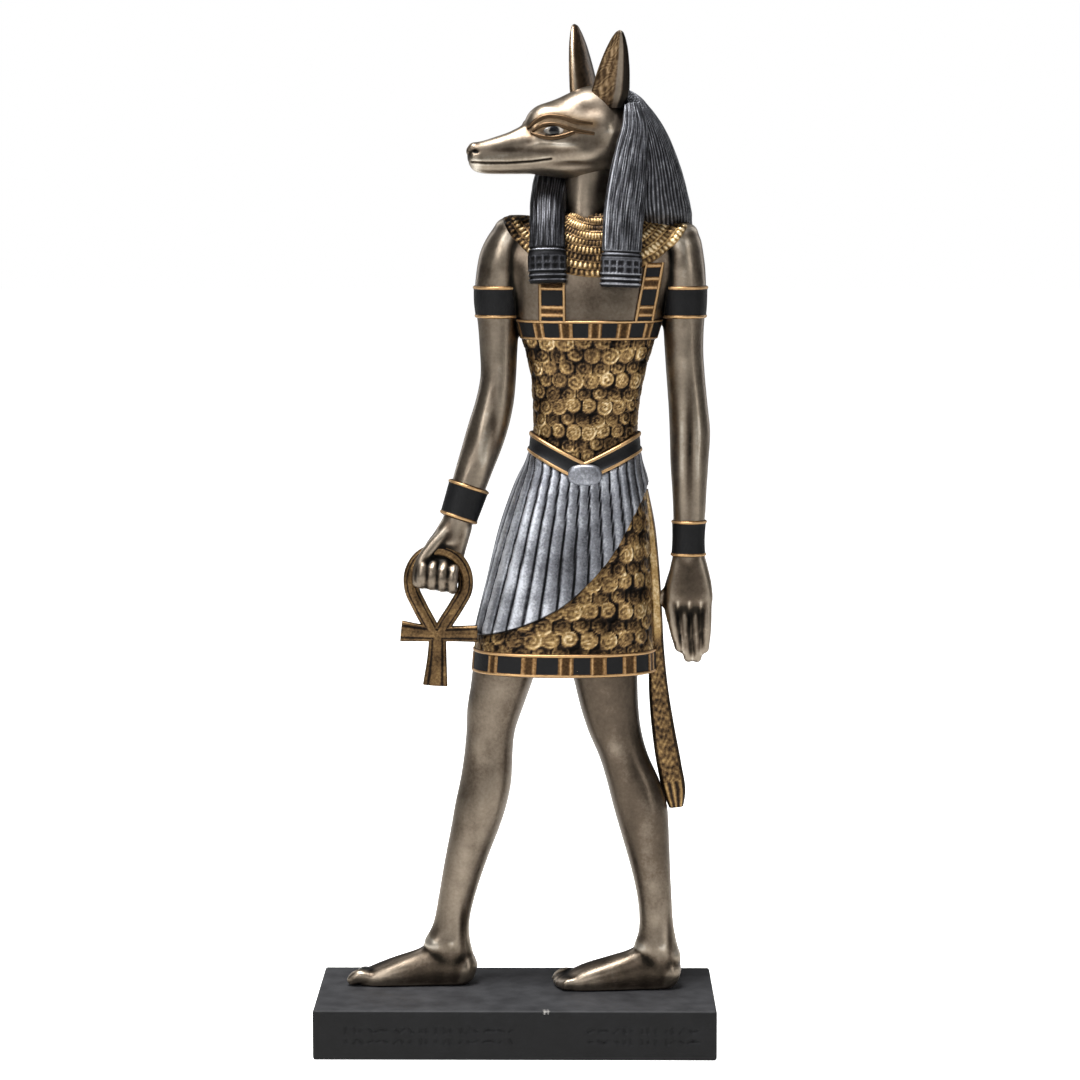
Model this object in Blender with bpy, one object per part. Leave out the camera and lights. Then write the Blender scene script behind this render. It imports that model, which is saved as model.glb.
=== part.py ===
"""A jackal-headed god in cold-cast bronze, striding on a black plinth.

Metres, +Z up. The origin is the middle of the plinth's underside, and the figure's chest faces -Y.
The figure walks towards -X with its head turned that way, as in an Egyptian relief.
It is one casting, fused here from closed forms, and it stands on the plinth as a second piece.
"""

import math

import bpy
import numpy as np

# Driving dimensions, in metres
FIGURE_HEIGHT = 0.282      # sole to the tip of the far ear
PLINTH_WIDTH = 0.116
PLINTH_DEPTH = 0.052
PLINTH_HEIGHT = 0.0145
PLINTH_CHAMFER = 0.0006    # the softened edge all round the casting
SEAT_GAP = 0.0003          # clearance between the soles and the plinth

# The figure is carved in units of 1/282 of its own height, from the middle of the plinth's top
UNIT = FIGURE_HEIGHT / 282.0
GROUND_DEPTH = 6.0         # how far the forms of the feet may run on below the soles, in units

# Turn of the head towards the viewer's side, and the point in the neck that it turns about
HEAD_TURN = math.radians(20.0)
HEAD_PIVOT = (22.0, 1.0, 0.0)

X_AXIS = (1.0, 0.0, 0.0)
Y_AXIS = (0.0, 1.0, 0.0)
Z_AXIS = (0.0, 0.0, 1.0)
HEAD_FORWARD = (-math.cos(HEAD_TURN), -math.sin(HEAD_TURN), 0.0)
HEAD_LEFT = (math.sin(HEAD_TURN), -math.cos(HEAD_TURN), 0.0)

ROUND = 2.0                # powers of a section's superellipse: an ellipse,
SOFT_BOX = 2.6             # a rounded box
RIDGED = 1.4               # and a bar with a ridge along its middle

# Columns: height, middle x, middle y, half width along x, half depth along y
TORSO = [
    (147, 19.4, 1.0, 16.0, 10.6), (157, 19.9, 1.0, 15.0, 10.2), (164, 20.1, 1.0, 15.0, 10.0),
    (171, 20.3, 1.0, 15.3, 10.1), (178, 20.7, 1.0, 16.0, 10.6), (185, 20.9, 1.0, 17.5, 11.6),
    (192, 21.1, 1.0, 19.5, 12.2), (201, 21.3, 1.2, 22.0, 12.6), (210, 21.6, 1.4, 25.0, 12.0),
    (217, 21.8, 1.8, 26.6, 10.6), (222, 22.0, 2.0, 25.4, 9.0), (225, 22.0, 2.2, 20.5, 7.8),
    (227, 22.0, 2.2, 12.0, 6.8),
]
NECK = [
    (218, 21.0, 2.0, 9.2, 9.0), (226, 20.6, 2.0, 7.8, 7.8), (234, 20.8, 1.8, 7.2, 7.2),
    (244, 22.5, 1.6, 8.0, 7.6),
]
KILT = [
    (94.6, 14.2, 3.4, 26.6, 16.6), (104, 14.5, 3.1, 26.0, 16.3), (115, 15.4, 2.6, 24.4, 15.6),
    (122, 16.2, 2.3, 23.4, 15.1), (129, 16.8, 2.0, 22.4, 14.5), (136, 17.5, 1.5, 21.4, 13.8),
    (143, 18.3, 1.2, 20.0, 13.0), (150, 19.2, 1.0, 18.2, 12.0), (157, 19.9, 1.0, 15.6, 11.0),
    (164, 20.1, 1.0, 14.7, 10.5),
]
RIGHT_ARM = [
    (226.4, 0.9, 2.0, 2.0, 2.0), (225.4, 0.4, 2.0, 4.2, 4.6), (222.4, -0.8, 2.0, 5.7, 6.6),
    (217, -2.6, 2.0, 7.1, 7.5), (210, -4.0, 2.0, 7.3, 7.5), (202, -4.8, 2.0, 6.9, 7.0),
    (195, -4.9, 2.0, 6.0, 6.3), (188, -4.9, 2.0, 5.5, 6.0), (180, -5.0, 2.0, 5.2, 5.8),
    (173, -6.0, 1.6, 5.6, 5.8), (166, -7.8, 1.2, 6.0, 5.7), (159, -9.9, 0.6, 5.9, 5.4),
    (152, -12.3, -0.2, 5.5, 5.0), (145, -14.6, -1.0, 5.1, 4.4), (138, -16.8, -1.6, 4.6, 3.8),
    (132, -19.2, -2.2, 5.0, 3.4),
]
LEFT_ARM = [
    (225, 46.0, 2.0, 1.6, 1.6), (223.8, 46.0, 2.0, 4.6, 4.6), (220.5, 46.4, 2.0, 6.4, 6.8),
    (215, 47.1, 2.0, 7.0, 7.5), (208, 47.8, 2.0, 7.0, 7.4), (201, 48.2, 2.0, 6.6, 7.0),
    (194, 48.4, 2.0, 5.9, 6.4), (187, 48.6, 2.2, 5.6, 6.2), (180, 49.1, 2.4, 5.6, 6.0),
    (172, 49.8, 2.4, 5.7, 5.9), (164, 50.4, 2.2, 5.9, 5.6), (156, 50.3, 2.0, 5.6, 5.2),
    (148, 50.3, 1.6, 5.1, 4.6), (140, 50.3, 1.2, 4.7, 4.0), (132, 50.1, 0.9, 4.4, 3.6),
    (126, 50.1, 0.8, 4.8, 3.3),
]
FRONT_LEG = [
    (104, -1.5, 5.0, 10.5, 9.0), (96, -3.0, 5.4, 9.6, 8.8), (89.4, -4.4, 5.8, 8.9, 8.4),
    (82.4, -6.2, 6.2, 8.2, 7.6), (75.3, -7.5, 6.4, 7.2, 6.8), (68, -8.2, 6.6, 7.2, 6.6),
    (61, -8.9, 6.6, 7.6, 6.8), (54, -10.3, 6.6, 7.7, 7.0), (46.6, -12.1, 6.6, 7.2, 6.6),
    (39.4, -14.2, 6.6, 6.5, 5.9), (32.2, -16.1, 6.6, 5.9, 5.2), (25, -17.8, 6.6, 5.4, 4.7),
    (18, -19.2, 6.6, 5.4, 4.6), (12, -20.2, 6.6, 6.6, 5.0), (5, -19.8, 6.6, 7.0, 5.2),
]
REAR_LEG = [
    (104, 24.0, 2.5, 11.0, 9.0), (97, 25.4, 2.4, 10.1, 8.8), (90, 26.4, 2.4, 9.2, 8.4),
    (83, 27.4, 2.4, 8.5, 7.7), (76, 29.0, 2.4, 7.8, 7.0), (69, 31.5, 2.4, 7.3, 6.6),
    (61.6, 34.3, 2.4, 7.8, 6.9), (54.5, 36.3, 2.4, 8.0, 7.0), (47.4, 37.6, 2.4, 7.3, 6.6),
    (40.2, 38.8, 2.4, 6.4, 5.9), (33.1, 39.9, 2.4, 5.6, 5.2), (25.9, 40.8, 2.4, 5.1, 4.7),
    (18.8, 41.3, 2.4, 5.1, 4.6), (12, 41.5, 2.4, 6.1, 5.0), (5, 42.0, 2.4, 6.6, 5.2),
]

# Paths: middle x, y, z, half width along the given side, half height across it
# A foot runs from the heel to the ball. The inner side is the one nearer the other foot.
FRONT_FOOT = [
    (-12.0, 6.6, 3.2, 2.4, 2.4), (-13.4, 6.6, 3.6, 4.2, 4.0), (-18.0, 6.6, 4.4, 5.2, 6.2),
    (-24.0, 6.6, 4.6, 5.4, 6.6), (-29.0, 6.7, 3.6, 5.7, 6.0), (-34.0, 6.9, 2.8, 6.2, 5.1),
    (-39.0, 7.0, 1.9, 6.5, 4.1), (-43.0, 7.1, 1.2, 6.2, 3.1), (-45.6, 7.1, 0.9, 5.2, 2.2),
]
REAR_FOOT = [
    (48.2, 2.4, 3.2, 2.4, 2.4), (46.8, 2.4, 3.6, 4.2, 4.0), (42.6, 2.4, 4.4, 5.2, 6.4),
    (37.4, 2.4, 4.6, 5.4, 6.8), (32.4, 2.3, 3.8, 5.7, 6.4), (27.0, 2.2, 3.0, 6.2, 5.6),
    (21.6, 2.1, 2.2, 6.5, 4.7), (17.6, 2.0, 1.5, 6.2, 3.7), (15.0, 2.0, 1.1, 5.2, 2.6),
]
# Toes: how far the tip stands ahead of the ball, its place across the foot, its radius
TOES = [(5.0, -4.0, 2.1), (4.7, -1.0, 1.6), (3.9, 1.4, 1.5), (2.9, 3.4, 1.4), (1.7, 5.0, 1.3)]
TOE_ROOT = 3.0             # the toes start this far behind the ball
ANKLE_HEIGHT = 12.6
ANKLE_RADIUS = 2.1

# The head along its own forward line: forward, top and bottom height, half width
HEAD = [
    (-13.0, 257.5, 246.0, 5.0), (-10.0, 260.4, 241.0, 8.4), (-6.0, 262.3, 238.4, 10.0),
    (-2.0, 263.1, 237.0, 10.5), (2.0, 262.8, 236.4, 10.3), (6.0, 261.4, 236.6, 9.7),
    (10.0, 259.6, 236.9, 8.8), (13.5, 258.2, 237.4, 7.7), (16.5, 257.0, 237.8, 6.7),
    (18.8, 255.4, 238.0, 5.8), (20.6, 252.7, 238.0, 5.1), (24.0, 250.4, 238.0, 4.4),
    (29.0, 248.6, 238.0, 3.9), (33.0, 247.4, 238.2, 3.5), (35.6, 246.8, 239.0, 3.1),
    (36.8, 246.0, 240.6, 2.4), (37.3, 244.8, 242.6, 1.2),
]
NOSE = [(34.2, 245.4, 1.5), (36.2, 245.2, 1.8), (37.2, 244.8, 1.3)]   # forward, height, radius
MOUTH = [(10.5, 242.6), (15.0, 242.0), (22.0, 241.4), (29.0, 241.1), (36.0, 241.1)]
MOUTH_CUT = 0.55
# The eye's rim and the brow above it: forward, height, half height
EYE = [(9.2, 250.0, 0.5), (11.4, 250.2, 1.1), (14.0, 250.2, 1.6), (16.4, 250.2, 1.1), (18.6, 249.9, 0.5)]
BROW = [(3.7, 252.0, 0.5), (9.0, 253.4, 0.8), (13.7, 254.1, 0.9), (17.0, 253.4, 0.8), (19.6, 252.0, 0.5)]
# An ear from its root to its tip: left, height, half width, half thickness
EAR = [
    (6.8, 256.6, 4.6, 3.2), (7.4, 261.0, 5.7, 3.1), (8.6, 266.0, 5.3, 2.7),
    (9.9, 271.0, 4.4, 2.3), (11.4, 276.5, 2.9, 1.7), (12.7, 281.0, 1.1, 0.9),
]
EAR_FORWARD = -1.3
EAR_SPLIT = 1.1            # how far the near ear stands behind the middle, and the far ear before it,
EAR_LEAN = 0.045           # and how fast that grows with height
NEAR_EAR_SHARE = 0.89      # the near ear's height as a share of the far ear's
FAR_EAR_GIRTH = 1.25       # the far ear's width and thickness as a share of the near ear's

# The wig: height, middle x, middle y, half width, half depth
WIG_HOOD = [
    (213, 41.0, 8.5, 10.4, 8.5), (219, 40.4, 8.0, 11.2, 9.5), (224, 39.0, 6.6, 11.8, 10.8),
    (227, 38.6, 4.9, 12.0, 12.3), (232, 38.2, 3.6, 11.3, 12.8), (239, 38.0, 2.8, 9.6, 12.4),
    (246, 37.4, 2.2, 7.6, 11.6), (252, 36.2, 1.8, 5.8, 10.4), (257, 34.2, 1.6, 4.1, 8.2),
    (260.4, 32.6, 1.4, 2.4, 4.8), (261.9, 31.8, 1.2, 0.8, 1.8),
]
# The hair that covers the nape on the far side
WIG_NAPE = [
    (214, 24.0, 9.0, 14.0, 5.2), (222, 24.0, 9.5, 14.5, 6.0), (230, 24.0, 9.0, 13.0, 6.5),
    (238, 25.5, 8.0, 11.0, 6.5), (246, 28.0, 6.5, 8.0, 6.5), (252, 30.5, 5.0, 5.0, 5.0),
]
WIG_STRANDS = 18
STRAND_DEPTH = 0.35
# Lappets: x, y, z, half width along x, half thickness
LEFT_LAPPET = [
    (33.2, -5.6, 257.5, 2.2, 2.2), (34.0, -7.6, 251, 3.8, 2.8), (33.0, -9.2, 243.5, 4.8, 2.9),
    (32.0, -10.2, 236, 5.4, 2.8), (31.0, -11.2, 228, 5.6, 2.6), (30.4, -12.2, 219, 5.5, 2.4),
    (30.1, -12.9, 212, 5.3, 2.2), (29.9, -13.2, 206.2, 5.2, 2.1),
]
RIGHT_LAPPET = [
    (30.5, 9.2, 255, 2.4, 2.4), (25.5, 11.0, 248, 4.2, 2.8), (17.6, 9.0, 242.5, 4.8, 3.0),
    (11.4, 4.2, 238.2, 5.0, 3.2), (9.6, -2.0, 232, 5.0, 3.0), (9.2, -8.6, 223, 4.9, 2.7),
    (9.2, -12.0, 215, 5.0, 2.3), (9.4, -13.2, 207.3, 4.8, 2.1),
]
LAPPET_BAND = (9.0, 0.5)   # how far above its end a lappet's bead band starts, and how proud it is

# Dress: bands as lowest and highest height, with how proud they stand of what they circle
CHEST_BAND = (191.0, 196.6)
HEM_BAND = (94.3, 101.0)
BAND_PROUD = 0.6
# The collar is the part of the shoulders inside an upright oval, seen from the front
COLLAR_OVAL = (23.2, 234.0, 29.0, 25.0)   # middle x, height, half width, half height
COLLAR_PROUD = 0.8
# Straps: x at the top, top height, x at the chest band, half width
STRAPS = [(10.4, 212.0, 10.6, 3.9), (39.8, 213.0, 36.8, 2.9)]
STRAP_PROUD = 0.55
STRAP_TUCK = 1.0           # how far its lower end runs under the chest band
ARMLETS = (196.9, 206.1)
LEFT_BRACELET = (128.0, 138.4)
# The right bracelet's two ends: x, y, z, half width, half depth
RIGHT_BRACELET = ((-13.4, -0.6, 148.6, 5.6, 5.0), (-16.6, -1.5, 139.0, 5.1, 4.4))
ARM_BAND_PROUD = 0.55
# The pleated wrap hangs over the kilt from the belt, down to this edge: x, height
WRAP_EDGE = [
    (-13.6, 105.0), (-8.0, 105.6), (-2.0, 107.3), (7.4, 111.1), (14.0, 115.0), (19.3, 119.7),
    (27.4, 129.2), (33.1, 139.7), (37.2, 148.4), (38.6, 153.0),
]
WRAP_PROUD = 0.7
WRAP_PLEATS = 24
PLEAT_DEPTH = 0.4

# The fist: its palm, then fingers and thumb, as path rows with a half width and a half height
FIST_PALM = [
    (-16.6, -1.6, 138.0, 4.5, 3.5), (-18.8, -1.9, 133.0, 5.2, 3.2), (-21.0, -2.0, 128.0, 6.2, 3.2),
    (-21.8, -2.6, 123.0, 6.4, 3.0), (-21.8, -3.2, 120.4, 5.4, 2.2),
]
FINGER_STEP = 2.95         # from the middle of one finger to the next
FINGER_RADIUS = 1.55
FIST_FINGERS_X = -26.9     # the first finger's middle
FIST_FINGER_DROP = 0.5     # how much lower each next finger hangs
# A finger from its knuckle to its tip: x from the finger's middle, y, z
FIST_FINGER = [
    (0.6, -5.2, 127.0), (0.2, -7.2, 125.2), (0.0, -7.8, 122.6), (0.0, -6.6, 120.6), (0.0, -4.4, 120.4),
]
FIST_THUMB = [
    (-19.6, -3.6, 136.0, 1.8), (-24.6, -4.8, 130.6, 1.9), (-27.9, -5.8, 125.4, 1.7),
    (-28.6, -5.8, 120.6, 1.3),
]
OPEN_PALM = [
    (50.1, 0.8, 130.0, 4.2, 3.0), (50.3, 0.6, 123.5, 5.8, 3.0), (50.4, 0.4, 118.5, 6.7, 2.8),
    (50.4, 0.3, 114.5, 6.8, 2.4), (50.3, 0.2, 111.6, 6.2, 1.4),
]
# Open fingers: x at the knuckle, x at the tip, height of the tip
OPEN_FINGERS = [(45.2, 47.6, 99.8), (48.7, 50.2, 96.9), (52.1, 52.8, 96.8), (55.4, 55.0, 99.6)]
OPEN_KNUCKLE_HEIGHT = 115.4
OPEN_FINGER_RADIUS = 1.75
OPEN_THUMB = [
    (46.4, 2.2, 124.0, 1.6), (44.9, 1.8, 118.5, 1.8), (44.6, 1.0, 113.0, 1.6), (45.0, 0.2, 109.0, 1.2),
]

# The ankh, flat in a plane of constant y
ANKH_Y = -4.2
ANKH_DEPTH = 1.5
LOOP_BAR = 2.2
LOOP = [
    (-22.8, 105.6), (-25.7, 110.0), (-28.0, 114.4), (-29.9, 118.8), (-29.9, 123.6), (-27.2, 128.0),
    (-22.6, 129.8), (-17.7, 128.0), (-14.8, 123.6), (-14.6, 118.8), (-16.8, 114.4), (-19.6, 110.0),
]
CROSSBAR = [
    (-33.1, 106.6, 3.1), (-28.0, 106.1, 2.6), (-22.7, 105.8, 2.3), (-17.5, 105.8, 2.3), (-11.0, 105.8, 2.5),
]
STEM = [(106.0, -22.5, 2.4), (98.0, -22.8, 2.9), (90.7, -23.3, 3.6)]

# The bull's tail: x, y, z, half width, half thickness
TAIL = [
    (36.9, 2.4, 147, 1.6, 2.4), (38.6, 2.2, 137, 1.9, 2.4), (39.8, 2.0, 126, 1.9, 2.2),
    (40.7, 2.0, 113, 1.9, 1.9), (41.0, 2.4, 100, 2.4, 1.9), (41.7, 2.6, 88, 3.0, 1.9),
    (43.2, 2.8, 76, 3.5, 1.9), (44.9, 2.8, 66, 3.7, 1.9), (46.6, 2.8, 57, 3.2, 1.8),
    (47.0, 2.8, 53.6, 2.2, 1.4),
]
HAND_WEB = [(41.5, 1.8, 116.0, 2.2, 1.6), (46.0, 1.6, 114.6, 3.2, 1.6)]

# The belt dips in a V at the front: its height at the sides and back, and at the front
BELT_SIDE_HEIGHT = 161.4
BELT_FRONT_HEIGHT = 153.4
BELT_HALF = 2.8
BELT_PROUD = 1.3           # beyond the kilt's own surface
BUCKLE = (20.0, 152.6, 4.9, 3.1)   # middle x, height, half width, half height
BUCKLE_ROOT = 2.0          # how deep it starts behind the belt's ridge,
BUCKLE_SIDE = 0.5          # how far its side stands before it,
BUCKLE_EASE = (0.6, 1.0, 0.9)      # and its face beyond that, drawn in by so much across and up
BELT_ROOT = 1.5            # how deep the belt's band starts below the kilt's surface
KILT_POWER = 2.3

BRONZE_COLOUR = (0.28, 0.235, 0.18)
BLACK_COLOUR = (0.02, 0.02, 0.022)

LEVEL_WITHIN = math.radians(3.0)    # neighbouring faces this near to level become one
THROUGH = 40.0             # half the run of a prism that passes through the whole figure
SECTION_SIDES = 14
LIMB_SIDES = 12
FINGER_SIDES = 6
HEAD_SIDES = 16
EAR_SIDES = 10
TORSO_SIDES = 20
BELT_SIDES = 28
STRIP_COLUMNS = 4
STRIP_ROOT = 1.4
TORSO_POWER = 2.4
HEAD_POWER = 2.2
HOOD_POWER = 2.3
FOOT_POWER = 2.3
HEAD_TAPER = 0.22          # how much narrower the head's sections are at the top
EAR_HOLLOW = 0.6           # share of the ear's half thickness that its front is hollowed by
EAR_OPENING = math.radians(45.0)   # the way an ear opens, from straight ahead to straight out
BAND_EASE = 0.25
DOME_REACH = 0.8           # shares of a finger's radius: how far its tip stands out,
DOME_SHARE = 0.5           # and the tip's own radius
FACE_RIDGE_SINK = 0.1
FACE_RIDGE_PROUD = 0.65


def clear_scene():
    for item in list(bpy.data.objects):
        bpy.data.objects.remove(item)


def metal(name, colour, roughness, metallic):
    """A plain Principled material from a linear colour."""
    made = bpy.data.materials.new(name)
    made.use_nodes = True
    shader = made.node_tree.nodes["Principled BSDF"]
    shader.inputs["Base Color"].default_value = (*colour, 1.0)
    shader.inputs["Roughness"].default_value = roughness
    shader.inputs["Metallic"].default_value = metallic
    return made


def unit(vectors):
    return vectors / np.linalg.norm(vectors, axis=-1, keepdims=True)


def section(sides, power):
    """The superellipse |a|^power + |b|^power = 1, as two arrays over one turn, and the angles."""
    angle = np.arange(sides) * 2 * math.pi / sides
    c, s = np.cos(angle), np.sin(angle)
    reach = (np.abs(c) ** power + np.abs(s) ** power) ** (-1 / power)
    return c * reach, s * reach, angle


def hide(form):
    form.hide_render = True
    form.display_type = "WIRE"


def add_form(name, rings, home, closed_loop=False):
    """A closed hidden form from an array of rings, (count, sides, 3) in units.

    The rings are capped at both ends, or the last joins the first in a closed loop.
    """
    count, sides = rings.shape[:2]
    faces = []
    for i in range(count if closed_loop else count - 1):
        n = (i + 1) % count
        for j in range(sides):
            k = (j + 1) % sides
            faces.append((i * sides + j, i * sides + k, n * sides + k, n * sides + j))
    if not closed_loop:
        last = (count - 1) * sides
        faces.append(tuple(range(sides))[::-1])
        faces.append(tuple(last + j for j in range(sides)))
    points = rings.reshape(-1, 3)
    mesh = bpy.data.meshes.new(name)
    mesh.from_pydata((points * UNIT).tolist(), [], faces)
    mesh.update()
    if signed_volume(points, faces) < 0:
        mesh.flip_normals()
    form = bpy.data.objects.new(name, mesh)
    hide(form)
    home.objects.link(form)
    return form


def signed_volume(points, faces):
    centred = points - points.mean(axis=0)
    total = 0.0
    for face in faces:
        for j in range(1, len(face) - 1):
            total += np.dot(centred[face[0]], np.cross(centred[face[j]], centred[face[j + 1]]))
    return total


def level_at(rows, height):
    """Middle x, middle y, half width and half depth of a column at a height or heights."""
    ordered = np.array(sorted(rows), float)
    return [np.interp(height, ordered[:, 0], ordered[:, i]) for i in range(1, 5)]


def column(name, rows, home, power=ROUND, sides=SECTION_SIDES, proud=0.0, carve=None):
    """Level sections stacked up: the form of a torso, a limb or a garment."""
    level = np.array(rows, float)
    a, b, angle = section(sides, power)
    extra = proud + (carve(angle, level[:, 0]) if carve else 0.0) * np.ones((len(level), 1))
    rings = np.empty((len(level), sides, 3))
    rings[..., 0] = level[:, 1, None] + (level[:, 3, None] + extra) * a
    rings[..., 1] = level[:, 2, None] + (level[:, 4, None] + extra) * b
    rings[..., 2] = level[:, 0, None]
    return add_form(name, rings, home)


def path_form(name, rows, home, side=X_AXIS, power=ROUND, sides=SECTION_SIDES):
    """Sections square to a path: the first radius lies along side, the second across it."""
    level = np.array(rows, float)
    middle = level[:, :3]
    along = unit(np.gradient(middle, axis=0))
    side = np.array(side, float)
    across_a = unit(side - along * (along @ side)[:, None])
    across_b = np.cross(along, across_a)
    a, b, _ = section(sides, power)
    rings = (
        middle[:, None]
        + across_a[:, None] * (level[:, 3, None] * a)[..., None]
        + across_b[:, None] * (level[:, 4, None] * b)[..., None]
    )
    return add_form(name, rings, home)


def finger(name, rows, home, side=X_AXIS, sides=FINGER_SIDES):
    """A round path form that closes in a dome at its last row: x, y, z, radius."""
    end, before = np.array(rows[-1]), np.array(rows[-2])
    step = unit(end[:3] - before[:3])
    tip = (*(end[:3] + step * end[3] * DOME_REACH), end[3] * DOME_SHARE)
    return path_form(name, [(*row, row[3]) for row in (*rows, tip)], home, side, ROUND, sides)


def band(name, rows, low, high, proud, home, power=ROUND, sides=SECTION_SIDES):
    """A ring round a column, solid through, with its edges eased in below the surface."""
    heights = (low - BAND_EASE, low, high, high + BAND_EASE)
    level = []
    for height, swell in zip(heights, (-BAND_EASE, proud, proud, -BAND_EASE)):
        x, y, half_x, half_y = level_at(rows, height)
        level.append((height, x, y, half_x + swell, half_y + swell))
    return column(name, level, home, power, sides)


def front_of(rows, x, height, power):
    """The y of a column's front surface at x and a height."""
    cx, cy, half_x, half_y = level_at(rows, height)
    a = np.clip(np.abs((x - cx) / half_x), 0.0, 0.995)
    return cy - half_y * (1 - a**power) ** (1 / power)


def laid_strip(name, middle_rows, rows, power, proud, home):
    """A flat strip that follows a column's front: each row gives x, height and half width."""
    rings = []
    for x, height, half in middle_rows:
        across = np.linspace(-half, half, STRIP_COLUMNS) + x
        surface = front_of(rows, across, height, power)
        top = np.stack([across, surface - proud, np.full_like(across, height)], axis=1)
        under = np.stack([across, surface + STRIP_ROOT, np.full_like(across, height)], axis=1)
        rings.append(np.vstack([top, under[::-1]]))
    return add_form(name, np.array(rings), home)


def upright_prism(name, outline, home):
    """A flat outline in x and z, run straight through the figure from front to back."""
    outline = np.array(outline, float)
    rings = np.empty((2, len(outline), 3))
    rings[..., 0] = outline[:, 0]
    rings[..., 2] = outline[:, 1]
    rings[0, :, 1] = -THROUGH
    rings[1, :, 1] = THROUGH
    return add_form(name, rings, home)


def combine(form, operation, other):
    """Adds a Boolean with an object, or with a whole collection.

    The Manifold solver keeps the many curved forms closed where Exact leaves open edges.
    """
    step = form.modifiers.new(operation.lower(), "BOOLEAN")
    step.operation = operation
    step.solver = "MANIFOLD"
    if isinstance(other, bpy.types.Collection):
        step.operand_type = "COLLECTION"
        step.collection = other
    else:
        step.object = other


def head_point(forward, left, height):
    """From the head's own forward, left and height to the figure's x, y and z."""
    return (
        np.array(HEAD_PIVOT)
        + forward * np.array(HEAD_FORWARD)
        + left * np.array(HEAD_LEFT)
        + height * np.array(Z_AXIS)
    )


def head_side(forward, height):
    """How far the head's side stands from its middle plane."""
    level = np.array(HEAD, float)
    top, bottom, half = (np.interp(forward, level[:, 0], level[:, i]) for i in (1, 2, 3))
    b = np.clip((height - (top + bottom) / 2) / ((top - bottom) / 2), -0.99, 0.99)
    return half * (1 - np.abs(b) ** HEAD_POWER) ** (1 / HEAD_POWER) * (1 - HEAD_TAPER * max(b, 0.0))


def make_head():
    """Upright sections square to the forward line, narrower above than at the jaw."""
    a, b, _ = section(HEAD_SIDES, HEAD_POWER)
    rings = np.empty((len(HEAD), HEAD_SIDES, 3))
    for i, (forward, top, bottom, half) in enumerate(HEAD):
        middle, rise = (top + bottom) / 2, (top - bottom) / 2
        taper = 1.0 - HEAD_TAPER * np.clip(b, 0.0, 1.0)
        for j in range(HEAD_SIDES):
            rings[i, j] = head_point(forward, half * a[j] * taper[j], middle + rise * b[j])
    add_form("head", rings, FORMS)
    finger("nose", [(*head_point(f, 0.0, z), r) for f, z, r in NOSE], FORMS, Y_AXIS)
    for hand, side in ((1, "near"), (-1, "far")):
        for part, rows in (("eye", EYE), ("brow", BROW)):
            ridge = []
            for forward, height, half in rows:
                left = hand * (head_side(forward, height) - FACE_RIDGE_SINK)
                ridge.append((*head_point(forward, left, height), half, FACE_RIDGE_PROUD))
            path_form(f"{side}_{part}", ridge, FORMS, Z_AXIS, ROUND, FINGER_SIDES)
        groove = []
        for forward, height in MOUTH:
            left = hand * (head_side(forward, height) + MOUTH_CUT * 0.2)
            groove.append((*head_point(forward, left, height), MOUTH_CUT * 0.7, MOUTH_CUT))
        path_form(f"{side}_mouth", groove, CUTS, Z_AXIS, ROUND, 6)


def make_ear(name, hand, height_share, girth=1.0):
    """A tall leaf with its front hollowed: the sections are crescents."""
    a, b, _ = section(EAR_SIDES, ROUND)
    root = EAR[0][1]
    rings = np.empty((len(EAR), EAR_SIDES, 3))
    for i, (left, height, half, thick) in enumerate(EAR):
        half, thick, rise = half * girth, thick * girth, height - root
        forward = EAR_FORWARD - hand * (EAR_SPLIT + EAR_LEAN * rise)
        hollow = EAR_HOLLOW * thick * (1 - a**2) * (b > 0.1)
        for j in range(EAR_SIDES):
            sideways = half * a[j]
            outward = thick * b[j] - hollow[j]
            rings[i, j] = head_point(
                forward + outward * math.cos(EAR_OPENING) - sideways * math.sin(EAR_OPENING),
                hand * (left + outward * math.sin(EAR_OPENING) + sideways * math.cos(EAR_OPENING)),
                root + height_share * rise,
            )
    add_form(name, rings, FORMS)


def make_wig():
    """The hood with its strands, the nape, and the two lappets with bead bands at their ends."""
    def strands(angle, heights):
        return STRAND_DEPTH * np.cos(WIG_STRANDS * angle)[None, :] * np.ones((len(heights), 1))

    column("wig_hood", WIG_HOOD, FORMS, HOOD_POWER, WIG_STRANDS * 2, carve=strands)
    column("wig_nape", WIG_NAPE, FORMS, ROUND, LIMB_SIDES)
    above, proud = LAPPET_BAND
    for name, rows in (("left_lappet", LEFT_LAPPET), ("right_lappet", RIGHT_LAPPET)):
        path_form(name, rows, FORMS, X_AXIS, SOFT_BOX, 10)
        end = rows[-1]
        level = np.array(sorted((z, x, y, half, thick) for x, y, z, half, thick in rows))
        cuff = []
        for height in (end[2] + above, end[2] + 0.4):
            x, y, half, thick = (np.interp(height, level[:, 0], level[:, i]) for i in (1, 2, 3, 4))
            cuff.append((x, y, height, half + proud, thick + proud))
        path_form(f"{name}_beads", cuff, FORMS, X_AXIS, SOFT_BOX, 12)


def belt_height(a):
    """The middle of the belt round the waist: a V at the front and at the back."""
    return BELT_SIDE_HEIGHT + (BELT_FRONT_HEIGHT - BELT_SIDE_HEIGHT) * (1 - np.abs(a))


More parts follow.
